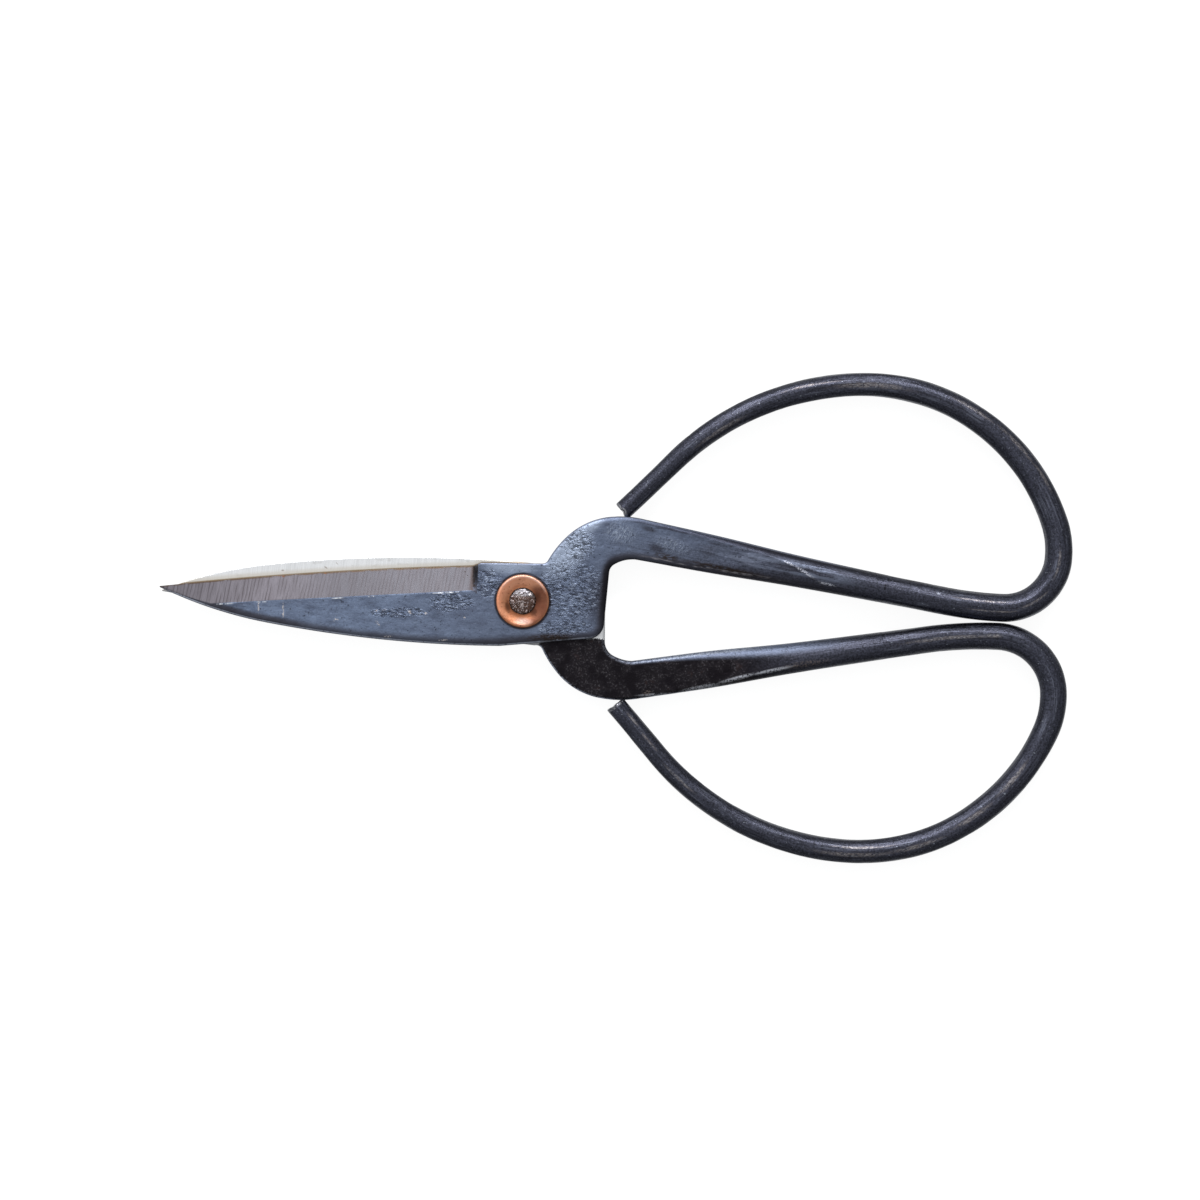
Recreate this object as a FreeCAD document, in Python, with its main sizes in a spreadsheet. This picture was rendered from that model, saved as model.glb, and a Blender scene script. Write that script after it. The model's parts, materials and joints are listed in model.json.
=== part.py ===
import FreeCAD
import Part
import Sketcher
import math
import os
from FreeCAD import Placement, Rotation, Vector

# Hand-forged floral snips. Two forged halves cross on one rivet between two dished copper
# washers. The blades point to -X and the handle bows to +X, the front of the snips faces +Z,
# and the origin is on the rivet's axis, at the flat of its tail, on which the snips lie.
#
# Both halves are made by the same functions. Each is modelled with its ground inner face on
# its own XY plane, its outer face towards +Z and its cutting edge towards +Y. The back half
# is then turned over about X. All sizes are in millimetres and degrees.

DOC = FreeCAD.newDocument("floral_snips")
SHEET = DOC.addObject("Spreadsheet::Sheet", "sizes")

# Sizes that both halves share.
COMMON = {
    "face_gap": 0.06,          # between the two ground faces
    "washer_gap": 0.04,        # between the back half and its washer
    "rivet_radius": 2.0,
    "head_radius": 2.95,
    "head_rise": 0.95,         # from the floor of a washer's dish to the top of the head
    "head_flat": 1.3,          # radius of the flat left by the last hammer blows
    "head_shoulder": 0.55,     # height at which the head starts to dome over
    "washer_radius": 5.9,
    "washer_edge": 0.5,        # height of the washer's outer edge
    "washer_rim": 1.15,
    "rim_radius": 5.25,        # where the rim is highest
    "dish_radius": 3.1,
    "dish_floor": 0.55,
    "washer_lean": 0.15,       # how far the outer edge leans in towards the blade
    "rim_round": 0.75,         # radius of the rim's rounded top
    "bore_gap": 0.01,          # radial, between the rivet and a washer
    "blade_thick": 3.0,
    "taper_start": 10.0,       # distance from the rivet at which the blade starts to thin
    "taper_end": 79.5,
    "tip_thick": 1.3,          # thickness that the spine would have at the tip
    "bevel_start": 11.2,       # distance from the rivet at which the ground bevel ends
    "bevel_end": 82.0,
    "edge_near": 0.42,         # edge thickness along the bevel's straight chord
    "edge_far": 0.55,
    "edge_round": 0.7,         # radius of the forging's outer edges
    "arm_length": 54.75,       # from the shoulder to the butt weld
    "end_chamfer": 0.7,        # on the free ends of the bows
    "cut_width": 60.0,         # length of cuts that go right through
    "cut_beyond": 2.0,         # how far a cut reaches past the metal
}

# Cross-sections of the arm: distance from the shoulder as a share of its length, thickness,
# height of its centre over the ground face, and corner radius. The widths differ by half.
ARM_SECTIONS = {
    "root": (0.0, 3.0, 1.5, 0.75),
    "flat": (0.3, 3.9, 0.9, 1.5),
    "turn": (0.62, 5.4, 0.25, 2.55),
    "weld": (1.0, 6.2, 0.0, 3.05),
}

# Sizes of each half. A bow is a straight run, bends that follow on from each other without a
# kink, and a last run to its free end.
HALF_SIZES = {
    "front": {
        "pivot_gap": 0.0,      # radial, between the rivet and the hole
        "bevel_near_y": 1.75, "bevel_far_y": -4.65, "edge_near_y": 7.15, "edge_far_y": -0.15,
        "weld_x": 79.0, "weld_y": 5.8, "arm_slope": 9.1,
        "root_width": 9.0, "flat_width": 8.35, "turn_width": 7.0, "weld_width": 6.2,
        "bow_start_radius": 3.1, "bow_bend_radius": 3.05, "bow_end_radius": 2.15,
        "bow_run": 12.8,
        "sag_radius": 84.0,
        "hook_radius": 11.8, "hook_turn": 85.0,
        "ease_radius": 19.0, "ease_turn": 25.0,
        "crown_radius": 43.7, "crown_turn": 72.0,
        "return_radius": 59.4, "return_turn": 44.0,
        "end_run": 16.5,
    },
    "back": {
        "pivot_gap": 0.05,
        "bevel_near_y": 1.6, "bevel_far_y": -3.9, "edge_near_y": 7.0, "edge_far_y": 0.75,
        "weld_x": 79.0, "weld_y": 6.6, "arm_slope": 10.2,
        "root_width": 8.4, "flat_width": 8.1, "turn_width": 6.7, "weld_width": 6.0,
        "bow_start_radius": 3.0, "bow_bend_radius": 2.95, "bow_end_radius": 2.25,
        "bow_run": 9.4,
        "sag_radius": 89.0,
        "hook_radius": 12.8, "hook_turn": 87.0,
        "ease_radius": 19.5, "ease_turn": 25.0,
        "crown_radius": 44.6, "crown_turn": 70.0,
        "return_radius": 59.1, "return_turn": 46.0,
        "end_run": 14.1,
    },
}

# The outline of each forging, clockwise from the tip: corner, x, y, and the radius of the
# arc that leaves the corner, 0 for a straight line. The two corners at the root of the arm
# come from the arm's own sizes.
OUTLINES = {
    "front": [
        ("tip_edge", -79.5, 0.1, 907.0),
        ("bevel_top", -11.2, 7.15, 0),
        ("step_top", -9.3, 7.95, 0),
        ("notch", 4.0, 8.35, 1.3),
        ("shoulder", 5.1, 9.0, 22.4),
        ("crest", 9.2, 14.6, 16.0),
        ("brow", 18.5, 19.15, 23.0),
        ("arm_over", None, None, 0),
        ("arm_under", None, None, 8.0),
        ("throat_top", 19.6, 8.75, 2.2),
        ("throat", 18.6, 7.0, 0),
        ("corner", 17.95, -4.0, 3.6),
        ("heel", 15.2, -7.6, 0),
        ("belly", -4.6, -10.0, 280.0),
        ("nose", -57.3, -6.7, 98.0),
        ("tip_spine", -79.5, -0.15, 0),
    ],
    "back": [
        ("tip_edge", -79.0, 1.0, 907.0),
        ("bevel_top", -11.2, 7.0, 0),
        ("step_top", -9.3, 8.6, 0),
        ("notch", 2.9, 9.6, 1.5),
        ("shoulder", 4.6, 10.3, 23.5),
        ("crest", 8.9, 16.25, 15.7),
        ("brow", 18.0, 20.6, 24.8),
        ("arm_over", None, None, 0),
        ("arm_under", None, None, 9.0),
        ("throat_top", 20.6, 11.35, 3.6),
        ("throat", 18.25, 8.2, 0),
        ("corner", 17.9, -4.0, 3.6),
        ("heel", 15.2, -7.2, 0),
        ("belly", 1.0, -8.4, 288.0),
        ("nose", -56.7, -5.7, 90.0),
        ("tip_spine", -79.0, 0.75, 0),
    ],
}
# Arcs that curve into the metal; the others bulge out of it.
HOLLOW_ARCS = ("notch", "arm_under", "throat_top")
SLACK = 0.01  # two places closer than this are the same place


def fill_sheet():
    """Put every size into the sheet, one row each, with its name as the alias."""
    rows = dict(COMMON)
    for name, (place, thick, height, corner) in ARM_SECTIONS.items():
        rows[f"{name}_place"] = place
        rows[f"{name}_thick"] = thick
        rows[f"{name}_height"] = height
        rows[f"{name}_corner"] = corner
    for half, half_sizes in HALF_SIZES.items():
        rows.update({f"{half}_{name}": number for name, number in half_sizes.items()})
        for name, x, y, radius in OUTLINES[half]:
            if x is not None:
                rows[f"{half}_{name}_x"] = x
                rows[f"{half}_{name}_y"] = y
            if radius:
                rows[f"{half}_{name}_arc"] = radius
    for row, (alias, number) in enumerate(rows.items(), start=1):
        SHEET.set(f"A{row}", alias)
        SHEET.set(f"B{row}", str(number))
        SHEET.setAlias(f"B{row}", alias)
    DOC.recompute()


def value(formula):
    """The number that a formula on the sheet's cells gives now."""
    answer = SHEET.evalExpression(formula)
    return float(getattr(answer, "Value", answer))


def new_sketch(body, name, role):
    """An empty sketch on one of the body's own origin planes."""
    plane = next(f for f in body.Origin.OriginFeatures if f.Role == role)
    sketch = body.newObject("Sketcher::SketchObject", f"{body.Name}_{name}")
    sketch.AttachmentSupport = (plane, [""])
    sketch.MapMode = "FlatFace"
    return sketch


def bound(sketch, kind, where, formula):
    """Add a constraint whose number follows a formula on the sheet's cells."""
    number = value(formula)
    if kind == "Angle":
        number = math.radians(number)
        formula = f"({formula}) * 1 deg"
    index = sketch.addConstraint(Sketcher.Constraint(kind, *where, number))
    sketch.setExpression(f"Constraints[{index}]", formula)


def pin_point(sketch, edge, end, x_formula, y_formula):
    """Hold one end of an edge at a place; None puts it on that axis."""
    if x_formula is None:
        sketch.addConstraint(Sketcher.Constraint("PointOnObject", edge, end, -2))
    else:
        bound(sketch, "DistanceX", (edge, end), x_formula)
    if y_formula is None:
        sketch.addConstraint(Sketcher.Constraint("PointOnObject", edge, end, -1))
    else:
        bound(sketch, "DistanceY", (edge, end), y_formula)


def arc_between(start, end, radius, bulges_left):
    """An arc and which of its ends are the start and the end: sketch arcs run anticlockwise."""
    chord = end - start
    side = Vector(-chord.y, chord.x, 0).normalize() * (1 if bulges_left else -1)
    rise = radius - math.sqrt(radius**2 - (chord.Length / 2) ** 2)
    middle = (start + end) / 2 + side * rise
    if bulges_left:
        return Part.Arc(end, middle, start), (2, 1)
    return Part.Arc(start, middle, end), (1, 2)


def draw_outline(sketch, corners):
    """A closed outline, clockwise: x, y, arc radius or None, and whether the arc bulges out."""
    places = [Vector(*(value(f) if f else 0.0 for f in corner[:2]), 0) for corner in corners]
    last = None
    first = None
    for corner, start, end in zip(corners, places, places[1:] + places[:1]):
        x_formula, y_formula, arc_formula, bulges_out = corner
        if arc_formula:
            shape, ends = arc_between(start, end, value(arc_formula), bulges_out)
        else:
            shape, ends = Part.LineSegment(start, end), (1, 2)
        edge = sketch.addGeometry(shape, False)
        if arc_formula:
            bound(sketch, "Radius", (edge,), arc_formula)
        pin_point(sketch, edge, ends[0], x_formula, y_formula)
        if last:
            sketch.addConstraint(Sketcher.Constraint("Coincident", *last, edge, ends[0]))
        else:
            first = (edge, ends[0])
        last = (edge, ends[1])
    sketch.addConstraint(Sketcher.Constraint("Coincident", *last, *first))


def draw_polygon(sketch, corners):
    """A closed outline of straight lines."""
    draw_outline(sketch, [(x, y, None, False) for x, y in corners])


def half_outline(half):
    """The corners of a forging's outline as formulas."""
    slope = f"(sizes.{half}_arm_slope * 1 deg)"
    root_x = f"sizes.{half}_weld_x - sizes.arm_length * cos{slope}"
    root_y = f"sizes.{half}_weld_y + sizes.arm_length * sin{slope}"
    aside = f"sizes.{half}_root_width / 2"
    arm_root = {
        "arm_over": (f"{root_x} + {aside} * sin{slope}", f"{root_y} + {aside} * cos{slope}"),
        "arm_under": (f"{root_x} - {aside} * sin{slope}", f"{root_y} - {aside} * cos{slope}"),
    }
    corners = []
    for name, _, _, radius in OUTLINES[half]:
        place = (f"sizes.{half}_{name}_x", f"sizes.{half}_{name}_y")
        arc = f"sizes.{half}_{name}_arc" if radius else None
        corners.append((*arm_root.get(name, place), arc, name not in HOLLOW_ARCS))
    return corners


def cut_through(body, sketch, name):
    """A pocket that goes right through, both ways from its sketch."""
    pocket = body.newObject("PartDesign::Pocket", f"{body.Name}_{name}")
    pocket.Profile = sketch
    pocket.SideType = "Symmetric"
    pocket.setExpression("Length", "sizes.cut_width")
    before = body.Shape.Volume
    DOC.recompute()
    if not body.Shape.Volume < before - SLACK:
        raise RuntimeError(f"{pocket.Name} cuts nothing")


def cut_taper(body):
    """Thin the blade from the rivet to the tip with a wedge off its outer face."""
    sketch = new_sketch(body, "taper_side", "XZ_Plane")
    over = "sizes.blade_thick + sizes.cut_beyond"
    draw_polygon(sketch, [
        ("-sizes.taper_start", "sizes.blade_thick"),
        ("-sizes.taper_start", over),
        ("-sizes.bevel_end", over),
        ("-sizes.bevel_end", outer_face("sizes.bevel_end")),
    ])
    cut_through(body, sketch, "taper")


def outer_face(distance):
    """Formula for the height of the blade's outer face at a distance from the rivet."""
    fall = "(sizes.blade_thick - sizes.tip_thick) / (sizes.taper_end - sizes.taper_start)"
    return f"sizes.blade_thick - ({distance} - sizes.taper_start) * {fall}"


def cut_bevel(body, half):
    """Grind the bevel from the outer face down to the cutting edge."""
    sections = []
    for place, station in (("near", "sizes.bevel_start"), ("far", "sizes.bevel_end")):
        face = f"({outer_face(station)})"
        border_y = f"sizes.{half}_bevel_{place}_y"
        edge_y = f"sizes.{half}_edge_{place}_y"
        edge_z = f"sizes.edge_{place}"
        steepness = f"(({face} - {edge_z}) / ({edge_y} - {border_y}))"
        sketch = new_sketch(body, f"bevel_{place}", "YZ_Plane")
        sketch.setExpression("AttachmentOffset.Base.z", f"-{station}")
        beyond = "sizes.cut_beyond"
        draw_polygon(sketch, [
            (f"{border_y} - {beyond} / {steepness}", f"{face} + {beyond}"),
            (f"{edge_y} + {beyond}", f"{face} + {beyond}"),
            (f"{edge_y} + {beyond}", f"{edge_z} - {beyond} * {steepness}"),
        ])
        sections.append(sketch)
    bevel = body.newObject("PartDesign::SubtractiveLoft", f"{body.Name}_bevel")
    bevel.Profile = sections[0]
    bevel.Sections = sections[1:]
    bevel.Ruled = True


def round_outer_edges(body, half):
    """Take the sharp corner off the outer face along the spine, the heel and the shoulder."""
    shoulder_x = value(f"sizes.{half}_notch_x")
    arm_x = value(f"sizes.{half}_throat_top_x") + SLACK
    spine_y = value(f"sizes.{half}_nose_y") / 2
    names = []
    for number, edge in enumerate(body.Shape.Edges, start=1):
        middle = edge.valueAt((edge.FirstParameter + edge.LastParameter) / 2)
        ends = [vertex.Point for vertex in edge.Vertexes]
        if len(ends) < 2 or min(end.z for end in ends) < value("sizes.tip_thick"):
            continue
        along_spine = middle.x < 0 and middle.y < spine_y
        on_shoulder = middle.x > shoulder_x and middle.z > value("sizes.blade_thick") - SLACK
        at_arm_cut = min(end.x for end in ends) > arm_x
        if (along_spine or on_shoulder) and not at_arm_cut:
            names.append(f"Edge{number}")
    base = body.Tip
    rounding = body.newObject("PartDesign::Fillet", f"{body.Name}_rounding")
    rounding.Base = (base, names)
    rounding.setExpression("Radius", "sizes.edge_round")


def draw_rounded_section(sketch, wide, thick, height, corner):
    """A rectangle with rounded corners, centred at a height over the ground face."""
    right = f"{wide} / 2"
    top = f"{height} + {thick} / 2"
    bottom = f"{height} - {thick} / 2"
    draw_outline(sketch, [
        (f"-{right}", f"{bottom} + {corner}", None, True),
        (f"-{right}", f"{top} - {corner}", corner, True),
        (f"-{right} + {corner}", top, None, True),
        (f"{right} - {corner}", top, corner, True),
        (right, f"{top} - {corner}", None, True),
        (right, f"{bottom} + {corner}", corner, True),
        (f"{right} - {corner}", bottom, None, True),
        (f"-{right} + {corner}", bottom, corner, True),
    ])


def loft_arm(body, half):
    """Carry the flat forging out along the arm to the round rod."""
    slope = f"sizes.{half}_arm_slope"
    sections = []
    for name in ARM_SECTIONS:
        back_off = f"(1 - sizes.{name}_place) * sizes.arm_length"
        sketch = new_sketch(body, f"arm_{name}", "YZ_Plane")
        sketch.AttachmentOffset = Placement(Vector(), Rotation(Vector(0, -1, 0), 1))
        sketch.setExpression("AttachmentOffset.Rotation.Angle", f"{slope} * 1 deg")
        sketch.setExpression(
            "AttachmentOffset.Base.x", f"sizes.{half}_weld_y + {back_off} * sin({slope} * 1 deg)")
        sketch.setExpression(
            "AttachmentOffset.Base.z", f"sizes.{half}_weld_x - {back_off} * cos({slope} * 1 deg)")
        draw_rounded_section(sketch, f"sizes.{half}_{name}_width", f"sizes.{name}_thick",
                             f"sizes.{name}_height", f"sizes.{name}_corner")
        sections.append(sketch)
    arm = body.newObject("PartDesign::AdditiveLoft", f"{body.Name}_arm")
    arm.Profile = sections[0]
    arm.Sections = sections[1:]
    arm.Ruled = False


def make_forging(half):
    """Blade, flat pivot, shoulder and arm, in one piece."""
    body = DOC.addObject("PartDesign::Body", f"{half}_blade")
    outline = new_sketch(body, "outline", "XY_Plane")
    draw_outline(outline, half_outline(half))
    pad = body.newObject("PartDesign::Pad", f"{body.Name}_pad")
    pad.Profile = outline
    pad.setExpression("Length", "sizes.blade_thick")
    DOC.recompute()
    cut_taper(body)
    hole = new_sketch(body, "pivot_circle", "XY_Plane")
    circle = hole.addGeometry(Part.Circle(Vector(), Vector(0, 0, 1), 2), False)
    hole.addConstraint(Sketcher.Constraint("Coincident", circle, 3, -1, 1))
    bound(hole, "Radius", (circle,), f"sizes.rivet_radius + sizes.{half}_pivot_gap")
    cut_through(body, hole, "pivot_hole")
    cut_bevel(body, half)
    DOC.recompute()
    round_outer_edges(body, half)
    DOC.recompute()
    loft_arm(body, half)
    return body


def draw_spine(sketch, half):
    """The rod's centreline: a run, five bends without kinks between them, and a run."""
    def place(name):
        return f"sizes.{half}_{name}"

    bends = [("sag_radius", "arm_slope")]
    bends += [(f"{name}_radius", f"{name}_turn") for name in ("hook", "ease", "crown", "return")]
    heading = -math.radians(value(place("arm_slope")))
    start = Vector(value(place("weld_x")), value(place("weld_y")), 0)
    end = start + Vector(math.cos(heading), math.sin(heading), 0) * value(place("bow_run"))
    run = sketch.addGeometry(Part.LineSegment(start, end), False)
    pin_point(sketch, run, 1, place("weld_x"), place("weld_y"))
    bound(sketch, "Distance", (run,), place("bow_run"))
    bound(sketch, "Angle", (-1, 1, run, 1), f"-{place('arm_slope')}")
    last = (run, 2)
    for radius_name, turn_name in bends:
        radius = value(place(radius_name))
        turn = math.radians(value(place(turn_name)))
        centre = end + Vector(-math.sin(heading), math.cos(heading), 0) * radius
        first_angle = heading - math.pi / 2
        circle = Part.Circle(centre, Vector(0, 0, 1), radius)
        bend = Part.ArcOfCircle(circle, first_angle, first_angle + turn)
        edge = sketch.addGeometry(bend, False)
        sketch.addConstraint(Sketcher.Constraint("Tangent", *last, edge, 1))
        bound(sketch, "Radius", (edge,), place(radius_name))
        bound(sketch, "Angle", (edge,), place(turn_name))
        heading += turn
        end = centre + Vector(math.sin(heading), -math.cos(heading), 0) * radius
        last = (edge, 2)
    tail_end = end + Vector(math.cos(heading), math.sin(heading), 0) * value(place("end_run"))
    tail = sketch.addGeometry(Part.LineSegment(end, tail_end), False)
    sketch.addConstraint(Sketcher.Constraint("Tangent", *last, tail, 1))
    bound(sketch, "Distance", (tail,), place("end_run"))


def make_bow(half):
    """The handle bow: a round rod that gets thinner towards its free end."""
    body = DOC.addObject("PartDesign::Body", f"{half}_bow")
    spine = new_sketch(body, "spine", "XY_Plane")
    draw_spine(spine, half)
    DOC.recompute()
    sections = []
    for name, edge, along in (("start", 1, 0.0), ("bend", 3, 1.0), ("end", 7, 1.0)):
        sketch = body.newObject("Sketcher::SketchObject", f"{body.Name}_{name}")
        sketch.AttachmentSupport = (spine, [f"Edge{edge}"])
        sketch.MapMode = "NormalToEdge"
        sketch.MapPathParameter = along
        circle = sketch.addGeometry(Part.Circle(Vector(), Vector(0, 0, 1), 3), False)
        sketch.addConstraint(Sketcher.Constraint("Coincident", circle, 3, -1, 1))
        bound(sketch, "Radius", (circle,), f"sizes.{half}_bow_{name}_radius")
        sections.append(sketch)
    DOC.recompute()
    rod = body.newObject("PartDesign::AdditivePipe", f"{body.Name}_rod")
    rod.Profile = sections[0]
    rod.Spine = (spine, [f"Edge{edge}" for edge in range(1, 8)])
    rod.Transformation = "Multisection"
    rod.Sections = sections[1:]
    DOC.recompute()
    free_end = sections[-1].Placement.Base
    cut_face = min(body.Shape.Faces, key=lambda face: (face.CenterOfMass - free_end).Length)
    number = next(n for n, face in enumerate(body.Shape.Faces, 1) if face.isSame(cut_face))
    chamfer = body.newObject("PartDesign::Chamfer", f"{body.Name}_end_chamfer")
    chamfer.Base = (rod, [f"Face{number}"])
    chamfer.setExpression("Size", "sizes.end_chamfer")
    return body


def turn_profile(body, corners):
    """A solid of revolution about Z from a profile of radius and height."""
    sketch = new_sketch(body, "profile", "XZ_Plane")
    draw_outline(sketch, corners)
    solid = body.newObject("PartDesign::Revolution", f"{body.Name}_turned")
    solid.Profile = sketch
    solid.ReferenceAxis = (sketch, ["V_Axis"])
    solid.Angle = 360


def make_rivet():
    """A plain shank with both ends hammered over into shallow domes."""
    body = DOC.addObject("PartDesign::Body", "pivot_rivet")
    shank = "sizes.rivet_radius"
    head = "sizes.head_radius"
    flat = "sizes.head_flat"
    top = stack_height("head_top")
    under = stack_height("dish_seat")
    shoulder = "(sizes.head_rise - sizes.head_shoulder)"
    turn_profile(body, [
        (None, None, None, False),
        (None, top, None, False),
        (flat, top, "sizes.head_radius", True),
        (head, f"{top} - {shoulder}", None, False),
        (head, under, None, False),
        (shank, under, None, False),
        (shank, "sizes.head_rise", None, False),
        (head, "sizes.head_rise", None, False),
        (head, shoulder, "sizes.head_radius", True),
        (flat, None, None, False),
    ])
    return body


def stack_height(place):
    """Formula for a height in the stack: tail, washer, back half, front half, washer, head."""
    back_outer = "sizes.head_rise + sizes.dish_floor + sizes.washer_gap"
    back_inner = f"{back_outer} + sizes.blade_thick"
    front_inner = f"{back_inner} + sizes.face_gap"
    front_outer = f"{front_inner} + sizes.blade_thick"
    return {
        "back_washer": "sizes.head_rise + sizes.dish_floor",
        "back_inner": back_inner,
        "middle": f"{back_inner} + sizes.face_gap / 2",
        "front_inner": front_inner,
        "front_washer": front_outer,
        "dish_seat": f"{front_outer} + sizes.dish_floor",
        "head_top": f"{front_outer} + sizes.dish_floor + sizes.head_rise",
    }[place]


def make_washer(name):
    """A copper disc, dished so that the rivet's head sits inside its raised rim."""
    body = DOC.addObject("PartDesign::Body", name)
    bore = "sizes.rivet_radius + sizes.bore_gap"
    turn_profile(body, [
        (bore, None, None, False),
        (bore, "sizes.dish_floor", None, False),
        ("sizes.dish_radius", "sizes.dish_floor", None, False),
        ("sizes.rim_radius", "sizes.washer_rim", "sizes.rim_round", True),
        ("sizes.washer_radius", "sizes.washer_edge", None, False),
        ("sizes.washer_radius - sizes.washer_lean", None, None, False),
    ])
    return body


def place_body(body, height, turned_over):
    """Stand a sub-part at its height in the stack, turned over about X or not."""
    body.Label = body.Name
    if turned_over:
        body.Placement = Placement(Vector(), Rotation(Vector(1, 0, 0), 180))
    body.setExpression("Placement.Base.z", height)


def check_document():
    """Stop on any failed object or sub-part that isn't one valid solid."""
    for item in DOC.Objects:
        if {"Invalid", "Error"} & set(item.State):
            raise RuntimeError(f"{item.Name} failed: {item.State}")
    for body in bodies():
        shape = body.Shape
        if shape.isNull() or not shape.isValid() or len(shape.Solids) != 1:
            raise RuntimeError(f"{body.Label} is not one valid solid")
        print(f"{body.Label}: {shape.Volume:.1f} mm3, box {shape.BoundBox}")


def bodies():
    return [item for item in DOC.Objects if item.TypeId == "PartDesign::Body"]


def main():
    fill_sheet()
    front_ground = stack_height("front_inner")
    back_ground = stack_height("back_inner")
    middle = stack_height("middle")
    place_body(make_forging("front"), front_ground, False)
    place_body(make_bow("front"), middle, False)
    place_body(make_forging("back"), back_ground, True)
    place_body(make_bow("back"), middle, True)
    place_body(make_rivet(), "0", False)
    place_body(make_washer("front_washer"), stack_height("front_washer"), False)
    place_body(make_washer("back_washer"), stack_height("back_washer"), True)
    DOC.recompute()
    check_document()
    os.makedirs("parts", exist_ok=True)
    for body in bodies():
        body.Shape.exportStep(f"parts/{body.Label}.step")


main()
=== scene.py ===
import json
import math
import random

import bpy
import numpy as np
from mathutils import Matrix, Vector, noise


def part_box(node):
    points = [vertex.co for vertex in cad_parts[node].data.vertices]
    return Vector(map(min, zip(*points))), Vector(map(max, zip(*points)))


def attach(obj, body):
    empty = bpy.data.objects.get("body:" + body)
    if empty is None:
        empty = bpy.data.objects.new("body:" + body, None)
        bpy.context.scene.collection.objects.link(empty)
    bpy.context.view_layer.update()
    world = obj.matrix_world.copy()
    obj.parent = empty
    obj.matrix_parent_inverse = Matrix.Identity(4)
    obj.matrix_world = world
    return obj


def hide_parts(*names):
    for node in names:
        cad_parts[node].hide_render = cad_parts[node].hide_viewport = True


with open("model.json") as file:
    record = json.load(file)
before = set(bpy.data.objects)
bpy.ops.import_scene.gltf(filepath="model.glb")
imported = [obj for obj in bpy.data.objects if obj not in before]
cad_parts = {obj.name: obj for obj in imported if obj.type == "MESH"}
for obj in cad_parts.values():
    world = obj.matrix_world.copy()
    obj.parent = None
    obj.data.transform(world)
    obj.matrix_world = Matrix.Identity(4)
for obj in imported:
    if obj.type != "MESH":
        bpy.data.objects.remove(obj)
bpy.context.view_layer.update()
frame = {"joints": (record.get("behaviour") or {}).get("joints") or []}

# Hand-forged floral snips: two forged halves, each with a bent-rod handle bow, on one peened
# rivet between two dished copper washers. Blades point to -X, bows to +X, the front is +Z.
#
# Both halves are made by the same functions, in the half's own frame: millimetres, ground face
# on z = 0, outer face towards +z, cutting edge towards +y. The back half is turned over about X.
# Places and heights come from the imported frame; Blender's own unit is the metre.

MM = 0.001

# --- sizes, in millimetres and degrees ------------------------------------------------------

FACE_GAP = 0.06           # between the two ground faces
TAPER_START = 10.0        # distance from the rivet at which the blade starts to thin
TAPER_END = 79.5
TIP_THICK = 1.3
BEVEL_START = 11.2        # distance from the rivet at which the ground bevel ends
BEVEL_END = 82.0
STEP_RUN = 1.2            # length of the grinder's run-out at the end of the bevel
EDGE_NEAR = 0.42          # edge thickness along the bevel's straight chord
EDGE_FAR = 0.55
EDGE_LEAST = 0.09
ARM_LENGTH = 54.75
LOWER_SPREAD = 0.5        # how much wider the arm's rounding is along its lower side, halfway

# Cross-sections of the arm: share of its length, thickness, height of its centre, corner radius.
ARM_SECTIONS = [
    (0.0, 3.0, 1.5, 0.75),
    (0.3, 3.9, 0.9, 1.5),
    (0.62, 5.4, 0.25, 2.55),
    (1.0, 6.2, 0.0, 3.09),
]

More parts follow.
